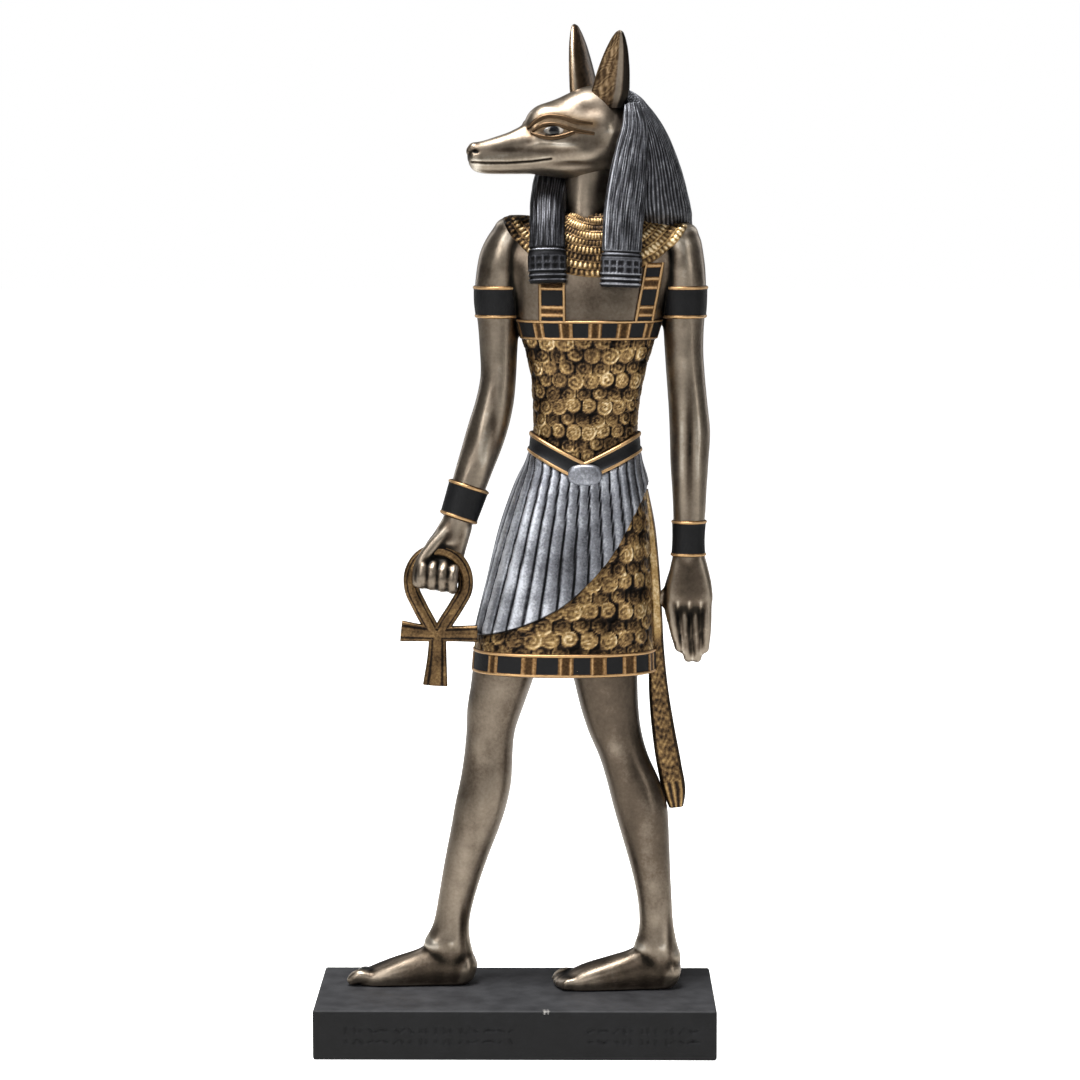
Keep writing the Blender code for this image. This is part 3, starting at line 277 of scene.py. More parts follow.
# Open fingers: x at the knuckle, x at the tip, height of the tip
OPEN_FINGERS = [(45.2, 47.6, 99.8), (48.7, 50.2, 96.9), (52.1, 52.8, 96.8), (55.4, 55.0, 99.6)]
OPEN_KNUCKLE_HEIGHT = 115.4
OPEN_FINGER_RADIUS = 1.75
OPEN_THUMB = [
    (46.4, 2.2, 124.0, 1.6), (44.9, 1.8, 118.5, 1.8), (44.6, 1.0, 113.0, 1.6), (45.0, 0.2, 109.0, 1.2),
]
HAND_WEB = [(41.5, 1.8, 116.0, 2.2, 1.6), (46.0, 1.6, 114.6, 3.2, 1.6)]

# The ankh, flat in a plane of constant y
ANKH_Y = -4.2
ANKH_DEPTH = 1.5
LOOP_BAR = 2.2                     # half the width of the loop's bar
LOOP_POWER = 1.7
BAR_POWER = 2.2
LOOP = [
    (-22.8, 105.6), (-25.7, 110.0), (-28.0, 114.4), (-29.9, 118.8), (-29.9, 123.6), (-27.2, 128.0),
    (-22.6, 129.8), (-17.7, 128.0), (-14.8, 123.6), (-14.6, 118.8), (-16.8, 114.4), (-19.6, 110.0),
]
CROSSBAR = [
    (-33.1, 106.6, 3.1), (-28.0, 106.1, 2.6), (-22.7, 105.8, 2.3), (-17.5, 105.8, 2.3), (-11.0, 105.8, 2.5),
]
STEM = [(106.0, -22.5, 2.4), (98.0, -22.8, 2.9), (90.7, -23.3, 3.6)]
# The bull's tail: x, y, z, half width, half thickness
TAIL = [
    (36.9, 2.4, 147, 1.6, 2.4), (38.6, 2.2, 137, 1.9, 2.4), (39.8, 2.0, 126, 1.9, 2.2),
    (40.7, 2.0, 113, 1.9, 1.9), (41.0, 2.4, 100, 2.4, 1.9), (41.7, 2.6, 88, 3.0, 1.9),
    (43.2, 2.8, 76, 3.5, 1.9), (44.9, 2.8, 66, 3.7, 1.9), (46.6, 2.8, 57, 3.2, 1.8),
    (47.0, 2.8, 53.6, 2.2, 1.4),
]
TAIL_LENGTH = 94.0
TUFT_FROM = 86.0                   # how far down the tail its plain tuft begins

# Soft muscle on the skin: x, y, z, reach along x, y and z, and height, all in millimetres
MUSCLES = [
    (-2.0, -5.0, 214.0, 5.0, 4.0, 7.0, 0.5), (48.0, -5.0, 213.0, 5.0, 4.0, 7.0, 0.5),
    (20.5, -8.0, 221.0, 1.4, 4.0, 3.0, -0.5), (1.0, -9.0, 205.0, 1.6, 4.0, 7.0, -0.4),
    (41.8, -9.0, 205.0, 1.6, 4.0, 7.0, -0.4),
    (-6.2, -4.5, 170.0, 1.6, 3.0, 9.0, -0.2), (50.2, -3.5, 160.0, 1.2, 3.0, 16.0, -0.2),
    (-9.2, -4.5, 160.0, 2.2, 3.0, 8.0, 0.3), (47.6, -3.5, 160.0, 1.5, 3.0, 14.0, 0.25),
    (52.8, -3.5, 160.0, 1.5, 3.0, 14.0, 0.25),
]
LEG_MUSCLES = [
    (-11.5, 0.0, 72.0, 3.2, 3.0, 5.2, 0.25), (28.0, -4.6, 72.0, 3.2, 3.0, 5.2, 0.25),
    (-5.5, -0.4, 56.0, 3.4, 3.0, 12.0, 0.2), (39.5, -4.6, 56.0, 3.4, 3.0, 12.0, 0.15),
    (-12.5, 0.5, 48.0, 2.4, 3.0, 16.0, -0.1), (34.0, -4.0, 48.0, 2.4, 3.0, 16.0, -0.1),
    (-15.4, 1.5, 16.0, 1.2, 3.0, 6.0, -0.4), (45.6, -2.0, 16.0, 1.2, 3.0, 6.0, -0.4),
    (-25.2, 5.0, 11.8, 2.8, 6.0, 2.6, 0.8), (36.2, 1.0, 11.8, 2.8, 6.0, 2.6, 0.8),
    (-12.8, 6.0, 9.4, 2.4, 5.0, 2.4, 0.55), (47.6, 2.0, 9.4, 2.4, 5.0, 2.4, 0.55),
]

# Wear on the skin: rounds of smoothing, the height in millimetres that counts as full, and its share
WEAR_ROUNDS = 8
WEAR_FULL = 0.06
WEAR_SHARE = 0.42

# Grids of the fine surfaces: points round a form, and rows along it
HOOD_GRID = (380, 100)
NAPE_GRID = (200, 64)
LAPPET_GRID = (120, 140)
CORSELET_GRID = (320, 108)
KILT_GRID = (320, 132)
WRAP_GRID = (310, 108)
TAIL_GRID = (48, 220)
BELT_SIDES = 300
# The plinth's grid: steps along its front, up its front and across its top
PLINTH_STEPS = (340, 50, 24)

# The stage: half the floor's width, and the camera's place, in metres
FLOOR_REACH = 6.0
CAMERA_PLACE = (0.015, -0.934, 0.254)
CAMERA_TILT, CAMERA_TURN = 0.1136, 0.0085   # how far it looks down and to the left, in radians
CAMERA_FOCUS = 3244.0              # the focal length in pixels of a 1080-pixel frame


def unit(vectors):
    """Each vector over its own length."""
    return vectors / np.maximum(np.linalg.norm(vectors, axis=-1, keepdims=True), 1e-12)


def smooth_step(low, high, value):
    """0 below low, 1 above high, and 3t^2 - 2t^3 between."""
    t = np.clip((value - low) / (high - low), 0.0, 1.0)
    return t * t * (3.0 - 2.0 * t)


def bell(away, reach):
    """1 at no distance and exp(-(away / reach)^2) elsewhere."""
    return np.exp(-((away / reach) ** 2))


def refine(rows, count):
    """A table's rows as a smooth curve of count rows.

    Hermite cubics of the distance along the first three columns; the slope at a row is the weighted
    mean of the slopes on its two sides.
    """
    rows = np.array(rows, float)
    reach = np.concatenate([[0.0], np.cumsum(np.linalg.norm(np.diff(rows[:, :3], axis=0), axis=1))])
    slope = np.gradient(rows, reach, axis=0)
    at = np.linspace(0.0, reach[-1], count)
    i = np.clip(np.searchsorted(reach, at, side="right") - 1, 0, len(reach) - 2)
    gap = (reach[i + 1] - reach[i])[:, None]
    s = (at - reach[i])[:, None] / gap
    return (
        (2 * s**3 - 3 * s**2 + 1) * rows[i]
        + (s**3 - 2 * s**2 + s) * gap * slope[i]
        + (3 * s**2 - 2 * s**3) * rows[i + 1]
        + (s**3 - s**2) * gap * slope[i + 1]
    )


def level_at(rows, height):
    """The columns after the first one of a smooth table, at any heights."""
    fine = refine(rows, 400)
    fine = fine[np.argsort(fine[:, 0])]
    return [np.interp(height, fine[:, 0], fine[:, i]) for i in range(1, fine.shape[1])]


def section(angle, power):
    """The superellipse |a|^power + |b|^power = 1 at the given angles."""
    c, s = np.cos(angle), np.sin(angle)
    reach = (np.abs(c) ** power + np.abs(s) ** power) ** (-1.0 / power)
    return c * reach, s * reach


def around(sides):
    """Evenly spaced angles of one full turn, from 0 and without its end."""
    return np.arange(sides) * (2.0 * math.pi / sides)


def on_column(rows, power, angle, height, out=0.0):
    """A column's surface at angles and heights: its middle plus the superellipse there, grown by out."""
    angle, height = np.broadcast_arrays(angle, height)
    x, y, half_x, half_y = level_at(rows, height)
    a, b = section(angle, power)
    return np.stack([x + (half_x + out) * a, y + (half_y + out) * b, height], axis=-1)


def column_grid(rows, power, sides, count, out=0.0):
    """Level superellipses on a column's smooth rows: middle + (half widths + out) times the section."""
    fine = refine(rows, count)
    a, b = section(around(sides), power)
    grid = np.empty((count, sides, 3))
    grid[..., 0] = fine[:, 1, None] + (fine[:, 3, None] + out) * a
    grid[..., 1] = fine[:, 2, None] + (fine[:, 4, None] + out) * b
    grid[..., 2] = fine[:, 0, None]
    return grid


def tube(rows, side, power, sides):
    """Sections square to a path: middle + first radius along side + second radius across it."""
    along = unit(np.gradient(rows[:, :3], axis=0))
    side = np.array(side, float)
    across_a = unit(side - along * (along @ side)[:, None])
    across_b = np.cross(along, across_a)
    a, b = section(around(sides), power)
    return (
        rows[:, None, :3]
        + across_a[:, None] * (rows[:, 3, None] * a)[..., None]
        + across_b[:, None] * (rows[:, 4, None] * b)[..., None]
    )


def path_grid(rows, side, power, sides, count):
    """A tube along a table's smooth rows."""
    return tube(refine(rows, count), side, power, sides)


def finger_grid(rows, side=ALONG_X):
    """A round tube whose last part closes as a half ball: its radius falls as a quarter circle."""
    rows = np.array([(*row, row[3]) for row in rows], float)
    end, step = rows[-1], unit(rows[-1, :3] - rows[-2, :3])
    turn = np.linspace(0.0, math.pi / 2, 6)[1:]
    radius = end[3] * np.maximum(np.cos(turn), DOME_END)
    dome = np.column_stack([end[:3] + step * (end[3] * np.sin(turn))[:, None], radius, radius])
    return tube(np.vstack([refine(rows, 16), dome]), side, ROUND, 16)


def shell(grid, loop=False):
    """Points, quads and cap triangles of a grid of rings, wrapped round in its second direction.

    The ends are closed by a fan to their middle, or the last ring joins the first in a loop.
    """
    count, sides = grid.shape[:2]
    index = np.arange(count * sides).reshape(count, sides)
    after = np.roll(index, -1, axis=1)
    if loop:
        below, below_after = np.roll(index, -1, axis=0), np.roll(after, -1, axis=0)
        quads = np.stack([index, after, below_after, below], axis=-1).reshape(-1, 4)
        return grid.reshape(-1, 3), quads, np.empty((0, 3), int)
    quads = np.stack([index[:-1], after[:-1], after[1:], index[1:]], axis=-1).reshape(-1, 4)
    points = np.vstack([grid.reshape(-1, 3), grid[0].mean(axis=0), grid[-1].mean(axis=0)])
    first, last = count * sides, count * sides + 1
    caps = np.vstack([
        np.stack([after[0], index[0], np.full(sides, first)], axis=1),
        np.stack([index[-1], after[-1], np.full(sides, last)], axis=1),
    ])
    return points, quads, caps


def outwards(points, quads, caps):
    """Turns the faces round where the volume they enclose comes out negative."""
    tris = np.vstack([quads[:, [0, 1, 2]], quads[:, [0, 2, 3]], caps])
    p = points - points.mean(axis=0)
    volume = np.einsum("ij,ij->i", p[tris[:, 0]], np.cross(p[tris[:, 1]], p[tris[:, 2]])).sum()
    return (quads[:, ::-1], caps[:, ::-1]) if volume < 0 else (quads, caps)


def joined(shells):
    """Several shells as the points and faces of one mesh."""
    points, quads, caps, start = [], [], [], 0
    for part in shells:
        part_quads, part_caps = outwards(*part)
        points.append(part[0])
        quads.append(part_quads + start)
        caps.append(part_caps + start)
        start += len(part[0])
    return np.vstack(points), np.vstack(quads), np.vstack(caps)


def make_mesh(name, points, quads, caps, fields):
    """A mesh in metres with smooth faces and its named values per point."""
    mesh = bpy.data.meshes.new(name)
    world = points * MM
    world[:, 2] += SOLES
    mesh.from_pydata(world.tolist(), [], quads.tolist() + caps.tolist())
    mesh.polygons.foreach_set("use_smooth", np.ones(len(mesh.polygons), bool))
    for key, values in fields.items():
        layer = mesh.attributes.new(key, "FLOAT", "POINT")
        layer.data.foreach_set("value", np.asarray(values, np.float32).ravel())
    mesh.update()
    return mesh


def place(name, mesh, material, slot, node=None):
    """Puts a finished mesh on the frame's one body, in place of a node where one is named."""
    piece = bpy.data.objects.new(name, mesh)
    bpy.context.scene.collection.objects.link(piece)
    mesh.materials.append(material)
    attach(piece, "root")
    if node:
        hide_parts(node)
    return piece


def fused(name, shells, voxel):
    """The outer skin of overlapping closed shells, rebuilt on a grid of that many millimetres."""
    rough = make_mesh(name, *joined(shells), {})
    holder = bpy.data.objects.new(name, rough)
    bpy.context.scene.collection.objects.link(holder)
    step = holder.modifiers.new("skin", "REMESH")
    step.mode = "VOXEL"
    step.voxel_size = voxel * MM
    step.adaptivity = 0.0
    made = bpy.data.meshes.new_from_object(holder.evaluated_get(bpy.context.evaluated_depsgraph_get()))
    points = np.empty(len(made.vertices) * 3, np.float32)
    made.vertices.foreach_get("co", points)
    points = points.reshape(-1, 3).astype(float)
    points[:, 2] -= SOLES
    points /= MM
    corners = np.empty(len(made.loops), np.int32)
    made.loops.foreach_get("vertex_index", corners)
    sizes = np.empty(len(made.polygons), np.int32)
    made.polygons.foreach_get("loop_total", sizes)
    starts = np.empty(len(made.polygons), np.int32)
    made.polygons.foreach_get("loop_start", starts)
    quads = corners[starts[sizes == 4, None] + np.arange(4)]
    caps = corners[starts[sizes == 3, None] + np.arange(3)]
    ends = np.empty(len(made.edges) * 2, np.int32)
    made.edges.foreach_get("vertices", ends)
    bpy.data.objects.remove(holder)
    bpy.data.meshes.remove(rough)
    bpy.data.meshes.remove(made)
    return points, quads.astype(int), caps.astype(int), ends.reshape(-1, 2)


def spread(values, edges, rounds):
    """Each point's values drawn half way to the mean of its neighbours', a number of times."""
    values = np.array(values, float)
    flat = values.ndim == 1
    values = values[:, None] if flat else values
    count = len(values)
    near = np.bincount(edges.ravel(), minlength=count)[:, None]
    for _ in range(rounds):
        total = np.empty_like(values)
        for axis in range(values.shape[1]):
            total[:, axis] = np.bincount(
                edges[:, 0], values[edges[:, 1], axis], count
            ) + np.bincount(edges[:, 1], values[edges[:, 0], axis], count)
        values += 0.5 * (total / np.maximum(near, 1) - values)
    return values[:, 0] if flat else values


def normals_of(points, quads, caps):
    """Each point's normal: the unit sum of the normals of the faces round it."""
    out = np.zeros_like(points)
    for faces in (quads, caps):
        if len(faces) == 0:
            continue
        corner = points[faces.T]
        if faces.shape[1] == 4:
            normal = np.cross(corner[2] - corner[0], corner[3] - corner[1])
        else:
            normal = np.cross(corner[1] - corner[0], corner[2] - corner[0])
        for column in range(faces.shape[1]):
            for axis in range(3):
                out[:, axis] += np.bincount(faces[:, column], normal[:, axis], len(points))
    return unit(out)


def swell(points, normals, spots):
    """Moves points along their normals by the sum of the spots' bells, exp(-distance^2)."""
    height = np.zeros(len(points))
    for x, y, z, reach_x, reach_y, reach_z, rise in spots:
        away = (points - (x, y, z)) / (reach_x, reach_y, reach_z)
        height += rise * np.exp(-(away**2).sum(axis=1))
    return points + normals * height[:, None]


def worn(points, quads, caps, edges):
    """How far each point stands out from its neighbourhood, from -1 in a hollow to 1 on a ridge.

    The neighbourhood is the surface smoothed WEAR_ROUNDS times; the distance along the normal is
    divided by WEAR_FULL.
    """
    normals = normals_of(points, quads, caps)
    out = ((points - spread(points, edges, WEAR_ROUNDS)) * normals).sum(axis=1)
    return np.clip(spread(out, edges, 2) / WEAR_FULL, -1.0, 1.0)


def distance_to_line(p, q, line):
    """The least distance from points (p, q) to a polyline of (p, q) rows."""
    line = np.array(line, float)
    least = np.full(np.shape(p), 1e9)
    for (ax, ay), (bx, by) in zip(line[:-1, :2], line[1:, :2]):
        dx, dy = bx - ax, by - ay
        t = np.clip(((p - ax) * dx + (q - ay) * dy) / (dx * dx + dy * dy), 0.0, 1.0)
        least = np.minimum(least, np.hypot(p - ax - t * dx, q - ay - t * dy))
    return least


def head_point(forward, left, height):
    """From the head's own forward, left and height to x, y and z."""
    forward, left, height = (np.asarray(v, float)[..., None] for v in (forward, left, height))
    return HEAD_PIVOT + forward * HEAD_FORWARD + left * HEAD_LEFT + height * UP


def head_side(forward, height):
    """How far the head's side stands from its middle plane: half width times superellipse and taper."""
    fine = refine(HEAD, 300)
    top, bottom, half = (np.interp(forward, fine[:, 0], fine[:, i]) for i in (1, 2, 3))
    b = np.clip((height - (top + bottom) / 2) / ((top - bottom) / 2), -0.99, 0.99)
    return half * (1 - np.abs(b) ** HEAD_POWER) ** (1 / HEAD_POWER) * (1 - HEAD_TAPER * np.maximum(b, 0.0))


def forward_at(x, height):
    """The forward distance of a point of the head's near side seen at x: solved by repetition."""
    x, height = np.asarray(x, float), np.asarray(height, float)
    forward = (HEAD_PIVOT[0] - x) / math.cos(HEAD_TURN)
    for _ in range(12):
        side = head_side(forward, height)
        forward = (HEAD_PIVOT[0] + side * math.sin(HEAD_TURN) - x) / math.cos(HEAD_TURN)
    return forward


def linear(text):
    """The linear colour of an sRGB hex value."""
    parts = np.array([int(text[i:i + 2], 16) for i in (1, 3, 5)]) / 255.0
    parts = np.where(parts <= 0.04045, parts / 12.92, ((parts + 0.055) / 1.055) ** 2.4)
    return (*parts.tolist(), 1.0)


def length(name, description, millimetres, low, high):
    """A property for a size: its default and limits, given in millimetres, times 0.001 for metres."""
    return bpy.props.FloatProperty(
        name=name, description=description, default=millimetres * MM, min=low * MM, max=high * MM,
        unit="LENGTH", precision=5,
    )


def colour(name, description, text):
    """A property for a colour: its default is the linear colour of an sRGB hex value."""
    return bpy.props.FloatVectorProperty(
        name=name, description=description, default=linear(text), size=4, min=0.0, max=1.0,
        subtype="COLOR",
    )


class StatueSizes(bpy.types.PropertyGroup):
    """Sizes of the grids and of the fine forms"""

    body_grid: length("Body grid", "Size of the skin's faces on body and limbs", 0.55, 0.35, 2.0)
    head_grid: length("Head grid", "Size of the skin's faces on the head", 0.33, 0.25, 1.0)
    collar_grid: length("Collar grid", "Size of the collar's faces", 0.34, 0.25, 1.0)
    strand_depth: length("Strand depth", "Depth of the furrows between the wig's strands", 0.5, 0.0, 1.5)
    rosette_depth: length("Rosette depth", "Height of the dress's rosettes", 0.7, 0.0, 1.5)
    corselet_rosette: length("Corselet rosette", "Distance between its rosettes", 4.35, 2.0, 9.0)
    kilt_rosette: length("Kilt rosette", "Distance between the kilt's rosettes", 4.9, 2.0, 9.0)
    bead_row: length("Bead row", "Height of a row of the collar's beads", 2.2, 1.0, 5.0)
    bead_length: length("Bead length", "Length of a bead along its row", 1.5, 0.8, 5.0)
    pleat_pitch: length("Pleat pitch", "Distance between two pleats at the belt", 2.65, 1.0, 6.0)


class StatueColours(bpy.types.PropertyGroup):
    """Colours of the finishes; those of one ramp stand in order, from its hollows to its crests"""

    bronze_hollow: colour("Bronze hollow", "Dark wash left in the skin's hollows", "#0B0907")
    bronze_shade: colour("Bronze shade", "Brown wash beside the hollows", "#27221C")
    bronze_ground: colour("Bronze ground", "The skin's even surface", "#584D42")
    bronze_rubbed: colour("Bronze rubbed", "Skin rubbed by hand", "#918576")
    bronze_crest: colour("Bronze crest", "The skin's sharpest ridges", "#D2C9BB")
    wax_hollow: colour("Wax hollow", "Hollows of ears and eye lines", "#110C07")
    wax_shade: colour("Wax shade", "Thin gold wax", "#574431")
    wax_rubbed: colour("Wax rubbed", "Full gold wax", "#967B5A")
    wax_crest: colour("Wax crest", "Gold wax on ridges", "#D3BB95")
    gold_hollow: colour("Gold hollow", "Black between rosettes and beads", "#070504")
    gold_shade: colour("Gold shade", "Brown at their feet", "#2C2117")
    gold_ground: colour("Gold ground", "Dull gold on their sides", "#6E5639")
    gold_rubbed: colour("Gold rubbed", "Rubbed gold on their tops", "#A68859")
    gold_crest: colour("Gold crest", "Bright gold on their highest parts", "#E6CFA6")
    silver_hollow: colour("Silver hollow", "Black between the pleats", "#050506")
    silver_shade: colour("Silver shade", "Black paint that the brush hardly met", "#18181B")
    silver_ground: colour("Silver ground", "Thin silver", "#4E4F54")
    silver_rubbed: colour("Silver rubbed", "Full silver", "#86888F")
    silver_crest: colour("Silver crest", "Silver on the pleats' edges", "#D2D5DC")
    hair_hollow: colour("Hair hollow", "Black between the strands", "#070708")
    hair_shade: colour("Hair shade", "The strands' sides", "#202023")
    hair_rubbed: colour("Hair rubbed", "Thin silver on the strands", "#5A5B60")
    hair_crest: colour("Hair crest", "Silver on the strands' crests", "#B4B6BC")
    gilt_hollow: colour("Gilt hollow", "Gilt at the feet of bars and rails", "#120D08")
    gilt_shade: colour("Gilt shade", "Dull gilt", "#4C3824")
    gilt_rubbed: colour("Gilt rubbed", "Worn gilt", "#856440")
    gilt_crest: colour("Gilt crest", "Gilt on the bars' ridges", "#B8956A")
    plinth_dark: colour("Plinth dark", "Darkest black of the plinth's sides", "#060607")
    plinth_pale: colour("Plinth pale", "Palest black of the plinth's sides", "#0C0C0E")
    dust_dark: colour("Top grey dark", "Darkest grey of the plinth's top", "#262628")
    # The plinth's top is painted in these two paler greys.
    dust_pale: colour("Top grey pale", "Palest grey of the plinth's top", "#3A3A3C")
    enamel: colour("Enamel", "Paint in the cells of bands, straps and belt", "#050507")
    eye_white: colour("Eye white", "Paint of the eyeballs", "#A9A196")
    # The pupil's black is also the colour that the eyes' painted shade darkens to, towards the lids.
    pupil: colour("Pupil", "Paint of the pupils", "#07070A")
    plaster: colour("Chip", "Bare casting in the plinth's chip", "#95928E")
    floor: colour("Floor", "The pale floor", "#F4F4F2")


def size_of(key):
    """A chosen size in millimetres: the property's metres over 0.001."""
    return getattr(bpy.context.scene.statue_sizes, key) / MM


def colour_of(key):
    """A chosen colour as four numbers."""
    return tuple(getattr(bpy.context.scene.statue_colours, key))


def stops_of(finish, *places):
    """A ramp's stops: a finish's colours in the order of their properties, at the given places."""
    keys = [key for key in StatueColours.__annotations__ if key.startswith(f"{finish}_")]
    return [(place, colour_of(key)) for place, key in zip(places, keys, strict=True)]


def add(tree, kind, links=None, values=None, stops=(), **settings):
    """One node with its settings, its input values, its ramp's stops, and its inputs' links.

    A stop is a place from 0 to 1 and a colour.
    """
    node = tree.nodes.new(kind)
    for key, value in settings.items():
        setattr(node, key, value)
    for key, value in (values or {}).items():
        node.inputs[key].default_value = value
    for key, socket in (links or {}).items():
        tree.links.new(socket, node.inputs[key])
    for _ in stops[2:]:
        node.color_ramp.elements.new(0.5)
    for i, (position, tint) in enumerate(stops):
        node.color_ramp.elements[i].position = position
        node.color_ramp.elements[i].color = tint
    return node


def new_material(name):
    """A new material, its node tree and its Principled shader."""
    made = bpy.data.materials.new(name)
    made.use_nodes = True
    tree = made.node_tree
    return made, tree, tree.nodes["Principled BSDF"]


def aged_metal(name, key, stops, metallic, roughness, grain, mottling, bump, shift=0.0):
    """A cast metal whose tone follows a value of the surface, broken up by noise.

    The value runs from 0 in recesses to 1 on crests. stops are the ramp's places and colours,
    grain the noise's size and bump its depth in millimetres, and mottling how much it moves the tone.
    """
    made, tree, shader = new_material(name)
    place_in = add(tree, "ShaderNodeTexCoord").outputs["Object"]
    fine = add(
        tree, "ShaderNodeTexNoise", {"Vector": place_in},
        {"Scale": 1.0 / (grain * MM), "Detail": 4.0, "Roughness": 0.6},
    )
    broad = add(
        tree, "ShaderNodeTexNoise", {"Vector": place_in},
        {"Scale": 1.0 / (grain * 9.0 * MM), "Detail": 3.0, "Roughness": 0.55},
    )
    tone = add(tree, "ShaderNodeAttribute", attribute_name=key).outputs["Fac"]
    both = add(
        tree, "ShaderNodeMath", {0: fine.outputs["Fac"], 1: broad.outputs["Fac"]}, operation="ADD"
    ).outputs[0]
    moved = add(
        tree, "ShaderNodeMath", {0: both}, {1: mottling, 2: shift - mottling}, operation="MULTIPLY_ADD"
    ).outputs[0]
    total = add(tree, "ShaderNodeMath", {0: tone, 1: moved}, operation="ADD").outputs[0]
    ramp = add(tree, "ShaderNodeValToRGB", {"Fac": total}, stops=stops)
    tree.links.new(ramp.outputs["Color"], shader.inputs["Base Color"])
    rough = add(
        tree, "ShaderNodeMapRange", {"Value": broad.outputs["Fac"]},
        {"From Min": 0.3, "From Max": 0.7, "To Min": roughness - 0.05, "To Max": roughness + 0.05},
    )
    tree.links.new(rough.outputs[0], shader.inputs["Roughness"])
    shader.inputs["Metallic"].default_value = metallic
    dents = add(
        tree, "ShaderNodeBump", {"Height": fine.outputs["Fac"]},
        {"Strength": 1.0, "Distance": bump * MM},
    )
    tree.links.new(dents.outputs["Normal"], shader.inputs["Normal"])
    return made


def enamel_and_gilt(name):
    """Black satin paint in the cells of a band and worn gilt on its bars, parted by the value gilt.

    The gilt darkens towards the bars' feet, where the value relief falls.
    """
    made, tree, shader = new_material(name)
    place_in = add(tree, "ShaderNodeTexCoord").outputs["Object"]
    fine = add(
        tree, "ShaderNodeTexNoise", {"Vector": place_in}, {"Scale": 1.0 / (0.7 * MM), "Detail": 4.0}
    )
    height = add(tree, "ShaderNodeAttribute", attribute_name="relief").outputs["Fac"]
    tone = add(
        tree, "ShaderNodeMath", {0: fine.outputs["Fac"], 2: height}, {1: 0.5}, operation="MULTIPLY_ADD"
    )
    gold = add(
        tree, "ShaderNodeValToRGB", {"Fac": tone.outputs[0]}, stops=stops_of("gilt", 0.3, 0.55, 0.8, 1.0)
    )
    where = add(tree, "ShaderNodeAttribute", attribute_name="gilt").outputs["Fac"]
    edge = add(
        tree, "ShaderNodeMapRange", {"Value": where}, {"From Min": 0.4, "From Max": 0.6}
    ).outputs[0]
    paint = add(tree, "ShaderNodeMix", {"Factor": edge, "B": gold.outputs["Color"]}, data_type="RGBA")
    paint.inputs["A"].default_value = colour_of("enamel")
    tree.links.new(paint.outputs["Result"], shader.inputs["Base Color"])
    metal = add(tree, "ShaderNodeMath", {0: edge}, {1: 0.9}, operation="MULTIPLY").outputs[0]
    tree.links.new(metal, shader.inputs["Metallic"])
    rough = add(
        tree, "ShaderNodeMapRange", {"Value": edge}, {"To Min": 0.55, "To Max": 0.4}
    ).outputs[0]
    tree.links.new(rough, shader.inputs["Roughness"])
    shader.inputs["Specular IOR Level"].default_value = 0.22
    dents = add(
        tree, "ShaderNodeBump", {"Height": fine.outputs["Fac"]}, {"Strength": 1.0, "Distance": 0.08 * MM}
    )
    tree.links.new(dents.outputs["Normal"], shader.inputs["Normal"])
    return made


def antique_bronze(name):
    """Cold-cast bronze, rubbed back by hand: pale on ridges, dark brown wash in hollows.

    Where the value gold is 1, in the ears and round the eyes, it is rubbed with gold wax.
    """
    made = aged_metal(
        name, "wear", stops_of("bronze", 0.0, 0.26, 0.5, 0.76, 1.0),
        metallic=0.95, roughness=0.34, grain=0.9, mottling=0.18, bump=0.03, shift=0.5,
    )
    tree = made.node_tree
    base = tree.nodes["Principled BSDF"].inputs["Base Color"]
    tone = base.links[0].from_socket
    value = tone.node.inputs["Fac"].links[0].from_socket
    wax = add(tree, "ShaderNodeValToRGB", {"Fac": value}, stops=stops_of("wax", 0.1, 0.45, 0.7, 1.0))
    where = add(tree, "ShaderNodeAttribute", attribute_name="gold").outputs["Fac"]
    both = add(
        tree, "ShaderNodeMix", {"Factor": where, "A": tone, "B": wax.outputs["Color"]}, data_type="RGBA"
    )
    tree.links.new(both.outputs["Result"], base)
    return made


def gold_wash(name):
    """Gold wax rubbed over black, so that crests shine and recesses stay nearly black."""
    return aged_metal(
        name, "relief", stops_of("gold", 0.2, 0.42, 0.62, 0.8, 1.0),
        metallic=0.9, roughness=0.36, grain=0.8, mottling=0.5, bump=0.06,
    )


def silver_wash(name):
    """Silver dry-brushed over black paint: bright on pleats, black between."""
    return aged_metal(
        name, "relief", stops_of("silver", 0.1, 0.4, 0.62, 0.82, 1.0),
        metallic=0.85, roughness=0.4, grain=0.7, mottling=0.4, bump=0.05,
    )


def hair_wash(name):
    """Black hair brushed with a little silver, which takes only on the strands' crests."""
    return aged_metal(
        name, "relief", stops_of("hair", 0.1, 0.5, 0.75, 1.0),
        metallic=0.8, roughness=0.42, grain=0.6, mottling=0.34, bump=0.05,
    )


# Finishes that several pieces share: the material's name and the function that makes it
FINISHES = {
    "bronze": ("antique_cold_cast_bronze", antique_bronze),
    "gold": ("rubbed_gold_over_black", gold_wash),
    "silver": ("dry_brushed_silver_over_black", silver_wash),
    "hair": ("black_hair_brushed_with_silver", hair_wash),
    "banded": ("black_enamel_and_gilt", enamel_and_gilt),
}


def finish_of(kind):
    """A shared finish, made when the first piece asks for it."""
    name, maker = FINISHES[kind]
    return bpy.data.materials.get(name) or maker(name)


def skin_piece(name, shells, voxel, spots, rounds, touch, node=None):
    """Fused forms, relaxed a number of rounds, with muscles raised and a wear value for the finish.

    touch gives the points with their fine forms, what it adds to the wear, and where the wax is.
    """
    points, quads, caps, edges = fused(name, shells, voxel)
    points = spread(points, edges, rounds)
    points = swell(points, normals_of(points, quads, caps), spots)
    points, change, gold = touch(points, normals_of(points, quads, caps))
    points[:, 2] = np.maximum(points[:, 2], 0.0)
    wear = worn(points, quads, caps, edges) * WEAR_SHARE + change
    mesh = make_mesh(name, points, quads, caps, {"wear": wear, "gold": gold})
    return place(name, mesh, finish_of("bronze"), "cast_bronze", node)


